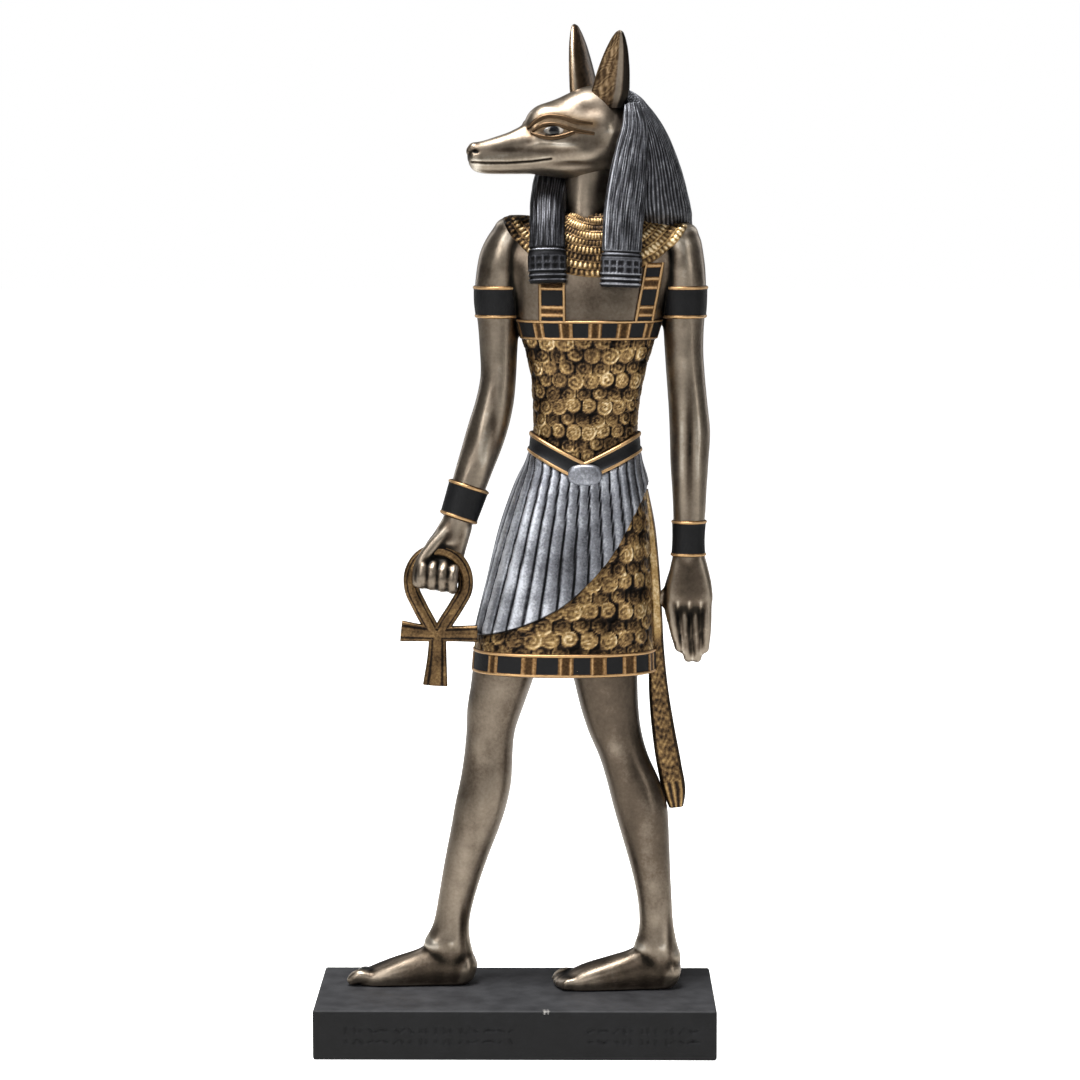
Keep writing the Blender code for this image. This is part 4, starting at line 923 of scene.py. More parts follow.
def torso_and_arms():
    """Closed shells of trunk, neck, arms, palms, thumbs and fingers, which overlap where they join."""
    shells = [
        shell(column_grid(TORSO[6:], TORSO_POWER, 72, 90)),
        shell(column_grid(NECK, ROUND, 48, 40)),
        shell(column_grid(RIGHT_ARM, ROUND, 40, 160)),
        shell(column_grid(LEFT_ARM, ROUND, 40, 160)),
        shell(path_grid(FIST_PALM, ALONG_X, SOFT_BOX, 32, 40)),
        shell(finger_grid(FIST_THUMB)),
        shell(path_grid(OPEN_PALM, ALONG_X, SOFT_BOX, 32, 40)),
        shell(finger_grid(OPEN_THUMB)),
        shell(path_grid(HAND_WEB, ALONG_Z, SOFT_BOX, 16, 8)),
    ]
    for i in range(4):
        x, drop = FIST_FINGERS_X + i * FINGER_STEP, FIST_FINGER_DROP * i
        rows = [(x + dx, y, z - drop, FINGER_RADIUS) for dx, y, z in FIST_FINGER]
        shells.append(shell(finger_grid(rows)))
    for root, tip, tip_height in OPEN_FINGERS:
        middle = (OPEN_KNUCKLE_HEIGHT + tip_height) / 2
        rows = [
            (root, 0.3, OPEN_KNUCKLE_HEIGHT, OPEN_FINGER_RADIUS),
            (root * 0.65 + tip * 0.35, 0.0, middle, OPEN_FINGER_RADIUS),
            (tip, 0.5, tip_height + 1.2, OPEN_FINGER_RADIUS - 0.3),
        ]
        shells.append(shell(finger_grid(rows)))
    return shells


def hand_details(points, normals):
    """The furrows between the open hand's fingers are part filled and painted paler; arms and hands are
    painted darker, the fist most.
    """
    groove = np.zeros(len(points))
    for one, other in zip(OPEN_FINGERS[:-1], OPEN_FINGERS[1:]):
        line = [
            ((one[0] + other[0]) / 2, OPEN_KNUCKLE_HEIGHT - 0.6),
            ((one[1] + other[1]) / 2, max(one[2], other[2]) - 0.4),
        ]
        groove = np.maximum(groove, bell(distance_to_line(points[:, 0], points[:, 2], line), 0.32))
    groove *= smooth_step(40.0, 42.0, points[:, 0]) * smooth_step(0.3, 0.8, np.abs(normals[:, 1]))
    arms = np.maximum(smooth_step(6.0, 2.0, points[:, 0]), smooth_step(38.0, 42.0, points[:, 0]))
    hands = smooth_step(138.0, 126.0, points[:, 2])
    fist = smooth_step(-10.0, -14.0, points[:, 0])
    # arms are painted darker by 0.09, hands by 0.1 more and the fist by 0.08 more; the furrows 0.16 paler
    change = 0.16 * groove - arms * (0.09 + 0.1 * hands) - 0.08 * hands * fist
    return points + normals * (0.12 * groove)[:, None], change, np.zeros(len(points))


def leg_details(points, normals):
    """The rear leg is painted darker than the front one above the foot; ankles are a little paler, feet
    darker.
    """
    rear = smooth_step(8.0, 16.0, points[:, 0]) * smooth_step(8.0, 34.0, points[:, 2])
    ankle = bell(points[:, 2] - 11.5, 3.0)
    foot = smooth_step(12.0, 8.0, points[:, 2])
    return points, -0.1 - 0.1 * rear + 0.1 * ankle - 0.12 * foot, np.zeros(len(points))


def legs_and_feet():
    """Closed shells of both legs with their feet, toes and ankle bones, which overlap."""
    shells = []
    for leg, foot, outward in ((FRONT_LEG, FRONT_FOOT, 1), (REAR_LEG, REAR_FOOT, -1)):
        shells.append(shell(column_grid(leg, ROUND, 48, 160)))
        shells.append(shell(path_grid(foot, ALONG_Y, FOOT_POWER, 40, 60)))
        ball_x, ball_y, ball_z = foot[-1][:3]
        for ahead, across, radius in TOES:
            y = ball_y + outward * across
            rows = [
                (ball_x + TOE_ROOT, y, ball_z + 0.9, radius),
                (ball_x - ahead * 0.3, y, radius + 0.3, radius),
                (ball_x - ahead + radius, y, radius * 0.7, radius * 0.85),
            ]
            shells.append(shell(finger_grid(rows, ALONG_Y)))
        x, y, _, half_depth = level_at(leg, ANKLE_HEIGHT)
        for hand in (-1, 1):
            rows = [
                (x + 1.0, y + hand * (half_depth + reach), ANKLE_HEIGHT, radius)
                for reach, radius in ((-3.0, ANKLE_RADIUS), (-1.9, ANKLE_RADIUS))
            ]
            shells.append(shell(finger_grid(rows)))
    return shells


def ear_grid(hand, height_share, girth):
    """A tall leaf whose sections are crescents: the front of each ellipse is drawn in by a parabola."""
    fine = refine(EAR, 60)
    left, height, half, thick = (fine[:, i, None] for i in range(4))
    half, thick = half * girth, thick * girth
    a, b = section(around(64), ROUND)
    root = EAR[0][1]
    rise = height - root
    forward = EAR_FORWARD - hand * (EAR_SPLIT + EAR_LEAN * rise)
    hollow = EAR_HOLLOW * thick * (1 - a**2) * smooth_step(0.0, 0.3, b)
    sideways, outward = half * a, thick * b - hollow
    return head_point(
        forward + outward * math.cos(EAR_OPENING) - sideways * math.sin(EAR_OPENING),
        hand * (left + outward * math.sin(EAR_OPENING) + sideways * math.cos(EAR_OPENING)),
        root + height_share * rise,
    )


def head_grid():
    """Upright sections square to the forward line, narrower above than at the jaw."""
    fine = refine(HEAD, 130)
    forward, top, bottom, half = (fine[:, i, None] for i in range(4))
    a, b = section(around(72), HEAD_POWER)
    taper = 1.0 - HEAD_TAPER * np.clip(b, 0.0, 1.0)
    return head_point(forward, half * a * taper, (top + bottom) / 2 + (top - bottom) / 2 * b)


def head_details(points, normals):
    """Mouth, nostrils, sockets and cheeks, in the head's own forward, left and height."""
    from_pivot = points - HEAD_PIVOT
    forward, left, height = from_pivot @ HEAD_FORWARD, from_pivot @ HEAD_LEFT, points[:, 2]
    side = np.abs(left)
    lift = np.zeros(len(points))
    change = np.zeros(len(points))
    mouth = distance_to_line(forward, height, MOUTH)
    cut = bell(mouth, 0.27) * smooth_step(0.6, 1.6, side)
    lift -= 0.2 * cut
    change -= 0.27 * cut
    change += 0.08 - 0.36 * smooth_step(33.6, 35.8, forward) * smooth_step(241.4, 243.4, height)
    nostril = np.hypot((forward - 36.1) / 0.9, (height - 244.4) / 0.6)
    hole = bell(nostril, 1.0) * smooth_step(0.5, 1.2, side)
    lift -= 0.5 * hole
    change -= 0.5 * hole
    for at_forward, at_height, reach_f, reach_h, rise in (
        (15.0, 250.2, 4.6, 2.3, -0.75), (14.5, 256.0, 3.6, 2.0, 0.45), (20.5, 250.5, 1.8, 2.0, -0.3),
        (5.0, 243.6, 4.5, 2.6, 0.8), (11.0, 246.3, 4.0, 1.2, 0.45), (4.0, 256.6, 4.0, 2.4, -0.6),
        (-1.0, 251.0, 2.6, 3.6, 0.6), (9.0, 240.8, 5.0, 1.0, -0.4), (26.0, 244.8, 7.0, 1.2, -0.3),
        (27.0, 239.4, 8.0, 0.8, 0.12), (16.0, 244.6, 3.0, 1.4, -0.3),
    ):
        lift += rise * bell(forward - at_forward, reach_f) * bell(height - at_height, reach_h)
    seen_x = points[:, 0]
    lids = distance_to_line(seen_x, height, [(x, z) for x, z, _ in UPPER_LID[:-1]])
    brow = distance_to_line(seen_x, height, [(x, z) for x, z, _ in BROW_LINE])
    gold = bell(np.minimum(lids, brow), 1.4) * smooth_step(2.0, 4.0, side) * 0.85
    return points + normals * lift[:, None], change, gold


class STATUE_OT_skin(bpy.types.Operator):
    """Neck, shoulders, arms, hands, legs and feet in antique bronze"""

    bl_idname = "statue.skin"
    bl_label = "Skin"

    def execute(self, context):
        grid = size_of("body_grid")
        skin_piece("torso_and_arms", torso_and_arms(), grid, MUSCLES, 6, hand_details, "figure")
        skin_piece("legs_and_feet", legs_and_feet(), grid, LEG_MUSCLES, 8, leg_details)
        return {"FINISHED"}


class STATUE_OT_head(bpy.types.Operator):
    """The jackal's head with its ears and the gilt lines of its eyes"""

    bl_idname = "statue.head"
    bl_label = "Head"

    def execute(self, context):
        nose = [(*head_point(f, 0.0, z), r) for f, z, r in NOSE]
        shells = [shell(head_grid()), shell(finger_grid(nose, ALONG_Y))]
        skin_piece("head", shells, size_of("head_grid"), [], 5, head_details)
        make_ear("near_ear", 1, NEAR_EAR_SHARE)
        make_ear("far_ear", -1, 1.0, FAR_EAR_GIRTH)
        make_eyes()
        return {"FINISHED"}


def make_ear(name, hand, height_share, girth=1.0):
    """An ear with its hollow hatched and gilt, a rubbed rim and a dark outer side.

    The hatching is the product of two sines that cross, both bent by slower ones. Smooth steps of
    the section's a and b, from -1 to 1 across and deep, part hollow, rim and outer side.
    """
    grid = ear_grid(hand, height_share, girth)
    count, sides = grid.shape[:2]
    a, b = section(around(sides), ROUND)
    up = np.linspace(0.0, 1.0, count)[:, None]
    ridge = 0.3 if hand > 0 else 0.0
    outer = smooth_step(ridge + 0.34, ridge + 0.48, a)
    inside = smooth_step(0.1, 0.3, b) * (1.0 - smooth_step(ridge - 0.08, ridge + 0.06, a))
    inside = inside * smooth_step(1.0, 0.9, up)
    bend = 1.6 * np.sin(up * 13.0 + a * 3.0) + 1.1 * np.sin(up * 29.0 - a * 7.0)
    hatch = 0.5 + 0.5 * np.sin(up * 44.0 + 8.0 * a + bend) * np.sin(up * 36.0 - 9.0 * a + 1.7 * bend)
    rim = smooth_step(ridge - 0.05, ridge + 0.08, a) * (1.0 - outer) * smooth_step(-0.1, 0.2, b)
    dark = np.maximum(outer, smooth_step(0.1, -0.3, b)) * (0.34 if hand > 0 else 0.2)
    wear = inside * (hatch - 0.45) * 0.6 + rim * 0.22 - dark - 0.35 * smooth_step(0.16, 0.0, up)
    if hand < 0:
        near_side = smooth_step(0.2, -0.2, a)
        crest = bell(b + 0.35 - 0.25 * up, 0.16) * near_side
        back = smooth_step(-0.55, -0.75, b)
        wear = wear + 0.34 * crest + 0.3 * back * (hatch - 0.4) + 0.06 * near_side
        inside = np.maximum(inside, np.maximum(0.75 * near_side * (1.0 - crest), 0.6 * back))
    points, quads, caps = joined([shell(grid)])
    mesh = make_mesh(name, points, quads, caps, {
        "wear": [*wear.ravel(), 0.0, 0.0], "gold": [*inside.ravel(), 0.0, 0.0],
    })
    place(name, mesh, finish_of("bronze"), "cast_bronze")


def make_eyes():
    """The gilt lines as tubes that follow the face's side, and the eyes as flattened balls.

    Their ink value is 1 within the pupil's radius; a painted shade makes it grow with the distance from the
    ball's middle, so the eyes darken towards the lids.
    """
    lines = []
    for hand in (1, -1):
        for rows in (BROW_LINE, UPPER_LID, LOWER_LID):
            x, height, half = refine(rows, 60).T
            forward = forward_at(x, height)
            left = hand * (head_side(forward, height) - 0.25)
            path = np.column_stack([head_point(forward, left, height), half * 1.5, half * 1.1])
            lines.append(shell(path_grid(path, ALONG_Z, ROUND, 12, 60)))
    points, quads, caps = joined(lines)
    same = np.ones(len(points))
    mesh = make_mesh("eye_lines", points, quads, caps, {"wear": -0.14 * same, "gold": same})
    place("eye_lines", mesh, finish_of("bronze"), "cast_bronze")
    u, v = np.meshgrid(np.linspace(-math.pi, math.pi, 49)[:-1], np.linspace(-1.5, 1.5, 21))
    balls, ink = [], []
    for hand in (1, -1):
        x, height = EYE_MIDDLE
        forward = forward_at(x, height)
        left = head_side(forward, height) - 0.75
        grid = head_point(
            forward + EYE_HALF[0] * np.cos(v) * np.cos(u), hand * (left + 1.0 * np.sin(v)),
            height + EYE_HALF[1] * np.cos(v) * np.sin(u),
        )
        balls.append(shell(grid))
        ahead, up = EYE_HALF[0] * np.cos(v) * np.cos(u), EYE_HALF[1] * np.cos(v) * np.sin(u)
        pupil = smooth_step(PUPIL_RADIUS + 0.2, PUPIL_RADIUS - 0.2, np.hypot(ahead - PUPIL_AHEAD, up))
        # painted shade: the eye white darkens towards the lids, up to 0.85 of the way to the pupil's black
        shade = 0.85 * smooth_step(0.4, 1.0, np.hypot(ahead / EYE_HALF[0], up / EYE_HALF[1]))
        ink.extend([np.maximum(pupil, shade).ravel(), [1.0, 1.0]])
    points, quads, caps = joined(balls)
    mesh = make_mesh("eyes", points, quads, caps, {"ink": np.concatenate(ink)})
    place("eyes", mesh, eye_paint(), "cast_bronze")


def eye_paint():
    """Ivory gloss paint with a black pupil, and a painted shade that darkens it towards the lids."""
    made, tree, shader = new_material("gloss_eye_paint")
    ink = add(tree, "ShaderNodeAttribute", attribute_name="ink").outputs["Fac"]
    paint = add(tree, "ShaderNodeMix", {"Factor": ink}, data_type="RGBA")
    paint.inputs["A"].default_value = colour_of("eye_white")
    paint.inputs["B"].default_value = colour_of("pupil")
    tree.links.new(paint.outputs["Result"], shader.inputs["Base Color"])
    shader.inputs["Roughness"].default_value = 0.22
    return made


def strands(across, along, count):
    """Combed hair: a cosine across, whose phase and height wander along the strand."""
    wander = 0.8 * np.sin(5.0 * across + 2.1 * along) + 0.4 * np.sin(11.0 * across - 3.7 * along)
    main = 0.5 + 0.5 * np.cos(count * across + wander)
    fine = 0.5 + 0.5 * np.cos(2.6 * count * across + 2.0 * np.sin(3.0 * along + 7.0 * across))
    broken = 0.5 + 0.5 * np.sin(9.0 * along + 23.0 * across) * np.sin(3.3 * along - 31.0 * across)
    return np.clip(0.12 + 0.56 * main**0.6 + 0.14 * fine + 0.14 * broken, 0.0, 1.0)


def ways(ring):
    """Each ring point's way from the first one, as a sum of steps, and the whole way round."""
    step = np.linalg.norm(np.roll(ring, -1, axis=0) - ring, axis=1)
    return np.concatenate([[0.0], np.cumsum(step)[:-1]]), step.sum()


def ring_way(ring):
    """The way round a ring from the middle of its front, positive towards +x there."""
    way, total = ways(ring)
    half = total / 2
    front = np.flatnonzero(ring[:, 1] < ring[:, 1].mean())
    middle = front[np.argmin(np.abs(ring[front, 0] - ring[:, 0].mean()))]
    way = (way - way[middle] + half) % (2 * half) - half
    return way * np.sign(ring[(middle + 1) % len(ring), 0] - ring[middle, 0])


def lappet_relief(across, above):
    """Strands above, then thin rules, rows of dark squares and plain bars at the end.

    Rules and bars are cosines of the height, the squares the lesser of a cosine across and one up.
    """
    relief = strands(across, above * 0.12, 9)
    bead = np.minimum(np.cos(across * 3.1), np.cos((above - 6.65) * 2 * math.pi / 1.9))
    rules = 0.5 + 0.5 * np.cos((above - 9.2) * 2 * math.pi / 1.1)
    bars = 0.5 + 0.5 * np.cos((above - 0.9) * 2 * math.pi / 1.45)
    squares = 0.72 - 0.5 * smooth_step(-0.8, 0.1, bead + 0.2 * np.sin(across * 7.0))
    relief = np.where(above < LAPPET_RULES, rules**1.5, relief)
    relief = np.where(above < LAPPET_SQUARES, squares, relief)
    relief = np.where(above < LAPPET_BARS, bars, relief)
    return np.clip(relief, 0.0, 1.0)


class STATUE_OT_wig(bpy.types.Operator):
    """The striped wig with its hood and two lappets"""

    bl_idname = "statue.wig"
    bl_label = "Wig"

    def execute(self, context):
        depth = size_of("strand_depth")
        sides, count = HOOD_GRID
        grid = column_grid(WIG_HOOD, HOOD_POWER, sides, count)
        angle, along = np.meshgrid(around(sides), np.linspace(0.0, 6.0, count))
        relief = strands(angle * 2.0, along, 32)
        out = grid - grid.mean(axis=1, keepdims=True)
        out[..., 2] = 0.0
        grid = grid + unit(out) * ((relief - 0.6) * depth)[..., None]
        nape_sides, nape_count = NAPE_GRID
        nape = column_grid(WIG_NAPE, ROUND, nape_sides, nape_count)
        angle, along = np.meshgrid(around(nape_sides), np.linspace(0.0, 4.0, nape_count))
        nape_relief = strands(angle * 1.2, along, 32)
        out = nape - nape.mean(axis=1, keepdims=True)
        out[..., 2] = 0.0
        nape = nape + unit(out) * ((nape_relief - 0.6) * depth)[..., None]
        points, quads, caps = joined([shell(grid), shell(nape)])
        relief = np.concatenate([relief.ravel(), [0.2, 0.2], nape_relief.ravel(), [0.2, 0.2]])
        mesh = make_mesh("wig_hood", points, quads, caps, {"relief": relief - 0.06})
        place("wig_hood", mesh, finish_of("hair"), "cast_bronze")
        for name, rows, tone in (("left_lappet", LEFT_LAPPET, 0.01), ("right_lappet", RIGHT_LAPPET, -0.12)):
            sides, count = LAPPET_GRID
            grid = path_grid(rows, ALONG_X, SOFT_BOX, sides, count)
            total = np.linalg.norm(np.diff(grid.mean(axis=1), axis=0), axis=1).sum()
            above = np.linspace(total, 0.0, count)
            across, above = np.meshgrid(ring_way(grid[count // 2]), above)
            relief = lappet_relief(across, above)
            if tone > 0.0:
                piping = bell(across + 4.9, 0.45) * smooth_step(8.0, 12.0, above)
                relief = np.maximum(relief, 1.1 * piping)
            out = unit(grid - grid.mean(axis=1, keepdims=True))
            thick = 0.5 * smooth_step(9.4, 9.0, above)
            grid = grid + out * ((relief - 0.6) * depth + thick)[..., None]
            points, quads, caps = joined([shell(grid)])
            mesh = make_mesh(name, points, quads, caps, {"relief": [*(relief + tone).ravel(), 0.3, 0.3]})
            place(name, mesh, finish_of("hair"), "cast_bronze")
        return {"FINISHED"}


def rosettes(u, v, pitch_u, pitch_v):
    """Round scales in offset rows: the highest of the discs near a point.

    u and v count scales round and up. Each disc is set a little off its place, tilts its own way,
    falls off at its rim, and bears a spiral: the cosine of its radius less its turn. A product of
    sines, about a millimetre long, breaks up their tops.
    """
    best = np.zeros(np.broadcast(u, v).shape)
    radius = 0.58 * pitch_u
    for step in (-1, 0, 1):
        row = np.floor(v) + step
        shift = 0.5 * (row % 2)
        middle = np.round(u - shift) + shift
        chance, other = np.sin(middle * 12.9898 + row * 78.233), np.cos(middle * 39.347 + row * 11.135)
        across = (u - middle + 0.08 * chance) * pitch_u
        up = (v - row - 0.5 + 0.08 * other) * pitch_v
        away = np.hypot(across, up)
        size = radius * (1.0 + 0.07 * other)
        disc = smooth_step(size, size - 0.5, away)
        turn = np.arctan2(up, across) - 2.0 * other
        spiral = 0.5 + 0.5 * np.cos(2 * math.pi * away / (0.5 * radius) - turn)
        tilt = (across * other + up * chance) / radius
        ringed = 0.12 + 0.14 * np.abs(other)
        height = 0.14 + disc * (0.38 + ringed * spiral + 0.12 * chance + 0.18 * tilt - 0.18 * up / pitch_v)
        best = np.maximum(best, height)
    grain = np.sin(27.0 * u + 4.0 * np.sin(15.0 * v)) * np.sin(29.0 * v + 3.0 * np.sin(17.0 * u))
    return best + 0.14 * grain * smooth_step(0.2, 0.4, best)


def rosette_column(name, rows, power, low, high, pitch, depth, sides, count):
    """A column covered with rosettes: a whole number of them round it, at the wanted pitch.

    high is one height, or the height of the top at each side.
    """
    height = low + (high - low) * np.linspace(0.0, 1.0, count)[:, None]
    angle = around(sides)[None, :]
    ring = on_column(rows, power, around(sides), (low + np.mean(high)) / 2)
    way, total = ways(ring)
    number = round(total / pitch)
    u = way[None, :] / total * number
    pitch_v = pitch * 0.84
    relief = rosettes(u, (height - low) / pitch_v, total / number, pitch_v)
    grid = on_column(rows, power, angle, height, (relief - 0.7) * depth)
    points, quads, caps = joined([shell(grid)])
    mesh = make_mesh(name, points, quads, caps, {"relief": [*relief.ravel(), 0.1, 0.1]})
    place(name, mesh, finish_of("gold"), "cast_bronze")


def wrap_edge_at(x):
    """The height of the wrap's edge at x, read off its smooth line."""
    fine = refine([(x, z, 0.0) for x, z in WRAP_EDGE], 200)
    return np.interp(x, fine[:, 0], fine[:, 1])


def belt_height(a):
    """The middle of the belt round the waist: its side height less a drop that grows with 1 - |a|."""
    return BELT_SIDE_HEIGHT + (BELT_FRONT_HEIGHT - BELT_SIDE_HEIGHT) * (1 - np.abs(a))


def way_round(angle, height):
    """The way from the front's middle to an angle along the kilt's ring, as a share of its half width."""
    fine = np.linspace(-1.5 * math.pi, 0.5 * math.pi, 721)
    ring = on_column(KILT, KILT_POWER, fine, np.full_like(fine, height))
    way = np.concatenate([[0.0], np.cumsum(np.linalg.norm(np.diff(ring, axis=0), axis=1))])
    half_x = level_at(KILT, height)[2]
    seen = (angle + 1.5 * math.pi) % (2 * math.pi) - 1.5 * math.pi
    return (np.interp(seen, fine, way) - np.interp(-0.5 * math.pi, fine, way)) / half_x


def pleats(x, height, pitch):
    """Flat pleats between thin grooves that fan from the belt; each stands at its own height.

    A groove that meets the belt at s leans with s: x = s + drop * (PLEAT_LEAN + PLEAT_FAN * s).
    Past the two ends of PLEAT_SPAN the lean stays as it is there.
    """
    low, high = PLEAT_SPAN
    drop = np.maximum(BELT_FRONT_HEIGHT - height, 0.0)
    s = (x - PLEAT_LEAN * drop) / (1.0 + PLEAT_FAN * drop)
    s = np.where(s < low, x - drop * (PLEAT_LEAN + PLEAT_FAN * low), s)
    s = np.where(s > high, x - drop * (PLEAT_LEAN + PLEAT_FAN * high), s)
    phase = (s / pitch) % 1.0
    edge = np.minimum(phase, 1.0 - phase) * pitch
    crest = smooth_step(0.02, 0.28, edge)
    uneven = 0.5 + 0.5 * np.sin(np.floor(s / pitch) * 12.9898 + 1.3 * np.sin(height * 0.11))
    return crest * (0.76 + 0.08 * np.cos(2 * math.pi * (phase - 0.3)) + 0.16 * uneven)


class STATUE_OT_dress(bpy.types.Operator):
    """Corselet and kilt of gold rosettes, and the silver pleated wrap"""

    bl_idname = "statue.dress"
    bl_label = "Dress"

    def execute(self, context):
        depth = size_of("rosette_depth")
        low, high = CORSELET
        pitch = size_of("corselet_rosette")
        rosette_column("corselet", TORSO, TORSO_POWER, low, high, pitch, depth, *CORSELET_GRID)
        top = belt_height(section(around(KILT_GRID[0]), KILT_POWER)[0])[None, :]
        pitch = size_of("kilt_rosette")
        rosette_column("kilt", KILT, KILT_POWER, KILT_FOOT, top, pitch, depth, *KILT_GRID)
        make_wrap()
        return {"FINISHED"}


def make_wrap():
    """Each column of the grid runs from the wrap's edge up under the belt; the last rows turn in.

    The edge's height at an angle is found by repetition, as x depends on it. The pleats' height
    stands on the kilt's column. The wrap's middle is painted darker, a painted shade: its value
    falls by up to 0.1 round x = 14.
    """
    sides, count = WRAP_GRID
    angle = around(sides)[None, :]
    a, _ = section(angle, KILT_POWER)
    share = np.linspace(0.0, 1.0, count)[:, None]
    top = belt_height(a)
    edge = np.full_like(a, 120.0)
    for _ in range(12):
        x, _, half_x, _ = level_at(KILT, edge)
        edge = 0.5 * edge + 0.5 * np.minimum(wrap_edge_at(x + half_x * a), top - 1.0)
    height = edge + (top - edge) * share
    x, _, half_x, _ = level_at(KILT, height)
    relief = pleats(x + half_x * way_round(angle, BELT_FRONT_HEIGHT), height, size_of("pleat_pitch"))
    lip = smooth_step(0.0, 0.012, share)
    under_belt = 1.0 - 0.6 * smooth_step(top - 3.6, top - 2.4, height)
    rise = 0.15 + lip * (0.25 + 0.75 * relief) * under_belt
    grid = on_column(KILT, KILT_POWER, angle, height, rise)
    inner = on_column(KILT, KILT_POWER, angle, edge + 0.3, -0.9)
    inner_top = on_column(KILT, KILT_POWER, angle, top, -0.9)
    grid = np.vstack([inner, grid, inner_top])
    hidden = np.zeros((1, sides))
    relief = np.vstack([hidden, relief * lip * 0.95 + 0.05, hidden])
    points, quads, caps = shell(grid, loop=True)
    quads, caps = outwards(points, quads, caps)
    # painted shade: round x = 14 the wrap's value is lowered, so its middle reads darker
    middle = bell(points[:, 0] - 14.0, 9.0)
    mesh = make_mesh("pleated_wrap", points, quads, caps, {"relief": relief.ravel() - 0.1 * middle})
    place("pleated_wrap", mesh, finish_of("silver"), "cast_bronze")


def cells(x, spans):
    """1 outside all the spans, 0 inside one; and the distance from the nearest span, in millimetres.

    The distance is the least of max(low - x, x - high).
    """
    away = np.full(np.shape(x), 9.0)
    for low, high in spans:
        away = np.minimum(away, np.maximum(low - x, x - high))
    return smooth_step(-0.15, 0.15, away), np.maximum(away, 0.0)


def cells_round(ring, spans):
    """Each ring point's way round, and the cells as ways: those in front are given by their x.

    The rest of the ring takes a whole number of cells of the front ones' mean length.
    """
    way, total = ways(ring)
    front = np.flatnonzero(ring[:, 1] < ring[:, 1].mean())
    front = front[np.argsort(ring[front, 0])]
    made = [tuple(np.interp(span, ring[front, 0], way[front])) for span in spans]
    start, free = made[-1][1], made[0][0] + total - made[-1][1] - CELL_GAP
    number = round(free / (np.mean([high - low for low, high in made]) + CELL_GAP))
    pitch = free / number
    made += [(start + CELL_GAP + i * pitch, start + (i + 1) * pitch) for i in range(number)]
    return way, made + [(low - total, high - total) for low, high in made]


def bar_relief(away):
    """A bar's ridge beside each cell, with a lower middle between two ridges."""
    return 0.24 + 0.56 * bell(away - 0.55, 0.4)


def ring_band(name, surface, spans, sides, rail=0.8, wide=6.0):
    """A band round a form: rails at both edges, bars between enamel cells, or fine threads.

    surface(angle, share, out) gives its points, with share running from 0 at one edge to 1. rail and
    wide are the widths of a rail and of the band in millimetres. A rail's top is a half ellipse.
    """
    rows = np.array([0.0, 0.25, 0.5, 0.75, 1.0]) * rail / wide
    rows = np.array([-0.03, *rows, rail / wide + 0.04])
    share = np.concatenate([rows, np.linspace(rows[-1], 1 - rows[-1], 14)[1:-1], (1 - rows)[::-1]])
    angle, share = np.broadcast_arrays(around(sides), share[:, None])
    base = surface(angle, share, 0.0)
    depth = np.minimum(share, 1 - share) * wide
    rails = 1.0 - smooth_step(rail - 0.1, rail + 0.1, depth)
    hump = np.sqrt(np.clip(1.0 - ((depth - rail / 2) / (rail / 2)) ** 2, 0.0, 1.0))
    bars, away = np.zeros_like(share), np.zeros_like(share)
    if spans:
        way, spans = cells_round(base[len(base) // 2], spans)
        bars, away = cells(np.broadcast_to(way, share.shape), spans)
    gilt = np.maximum(rails, bars)
    relief = np.where(rails > 0.5, 0.25 + 0.6 * hump, bar_relief(away))
    ease = smooth_step(-0.03, 0.01, share) * smooth_step(1.03, 0.99, share)
    threads = 0.0 if spans else 0.05 * np.cos(angle * 48.0)
    out = -0.5 + ease * (0.5 + BAND_PROUD * (0.45 + 0.55 * gilt * relief) + threads * (1 - gilt))
    grid = surface(angle, share, out)
    points, quads, caps = joined([shell(grid)])
    mesh = make_mesh(name, points, quads, caps, {
        "gilt": [*gilt.ravel(), 0.0, 0.0], "relief": [*relief.ravel(), 0.0, 0.0],
    })
    place(name, mesh, finish_of("banded"), "cast_bronze")


def column_band(rows, power, low, high):
    """The surface of a column between two heights, as a function of angle, share and out."""
    return lambda angle, share, out: on_column(rows, power, angle, low + (high - low) * share, out)


def path_band(rows):
    """The surface of a short tapering tube between two rows, as a function of angle and share."""
    start, end = (np.array(row, float) for row in rows)
    along = unit(end[:3] - start[:3])
    side = unit(ALONG_X - along * along[0])
    other = np.cross(along, side)

    def surface(angle, share, out):
        """The middle plus the two radii, each grown by out, times cosine and sine."""
        row = start + (end - start) * share[..., None]
        first, second = (row[..., 3] + out) * np.cos(angle), (row[..., 4] + out) * np.sin(angle)
        return row[..., :3] + side * first[..., None] + other * second[..., None]

    return surface


class STATUE_OT_bands(bpy.types.Operator):
    """Chest band, hem band, armlets and bracelets in black and gilt"""

    bl_idname = "statue.bands"
    bl_label = "Bands"

    def execute(self, context):
        low, high = CHEST_BAND
        ring_band("chest_band", column_band(TORSO, TORSO_POWER, low, high), CHEST_CELLS, 260)
        low, high = HEM_BAND
        ring_band("hem_band", column_band(KILT, KILT_POWER, low, high), HEM_CELLS, 300)
        low, high = ARMLETS
        ring_band("right_armlet", column_band(RIGHT_ARM, ROUND, low, high), None, 120, 0.95, 9.2)
        ring_band("left_armlet", column_band(LEFT_ARM, ROUND, low, high), None, 120, 0.95, 9.2)
        low, high = LEFT_BRACELET
        ring_band("left_bracelet", column_band(LEFT_ARM, ROUND, low, high), None, 110, 0.9, 10.4)
        ring_band("right_bracelet", path_band(RIGHT_BRACELET), None, 110, 0.9, 10.0)
        return {"FINISHED"}


def front_of(rows, x, height, power):
    """The y of a column's front at x and a height: middle less half depth * (1 - |a|^p)^(1 / p)."""
    cx, cy, half_x, half_y = level_at(rows, height)
    a = np.clip(np.abs((x - cx) / half_x), 0.0, 0.995)
    return cy - half_y * (1 - a**power) ** (1 / power)


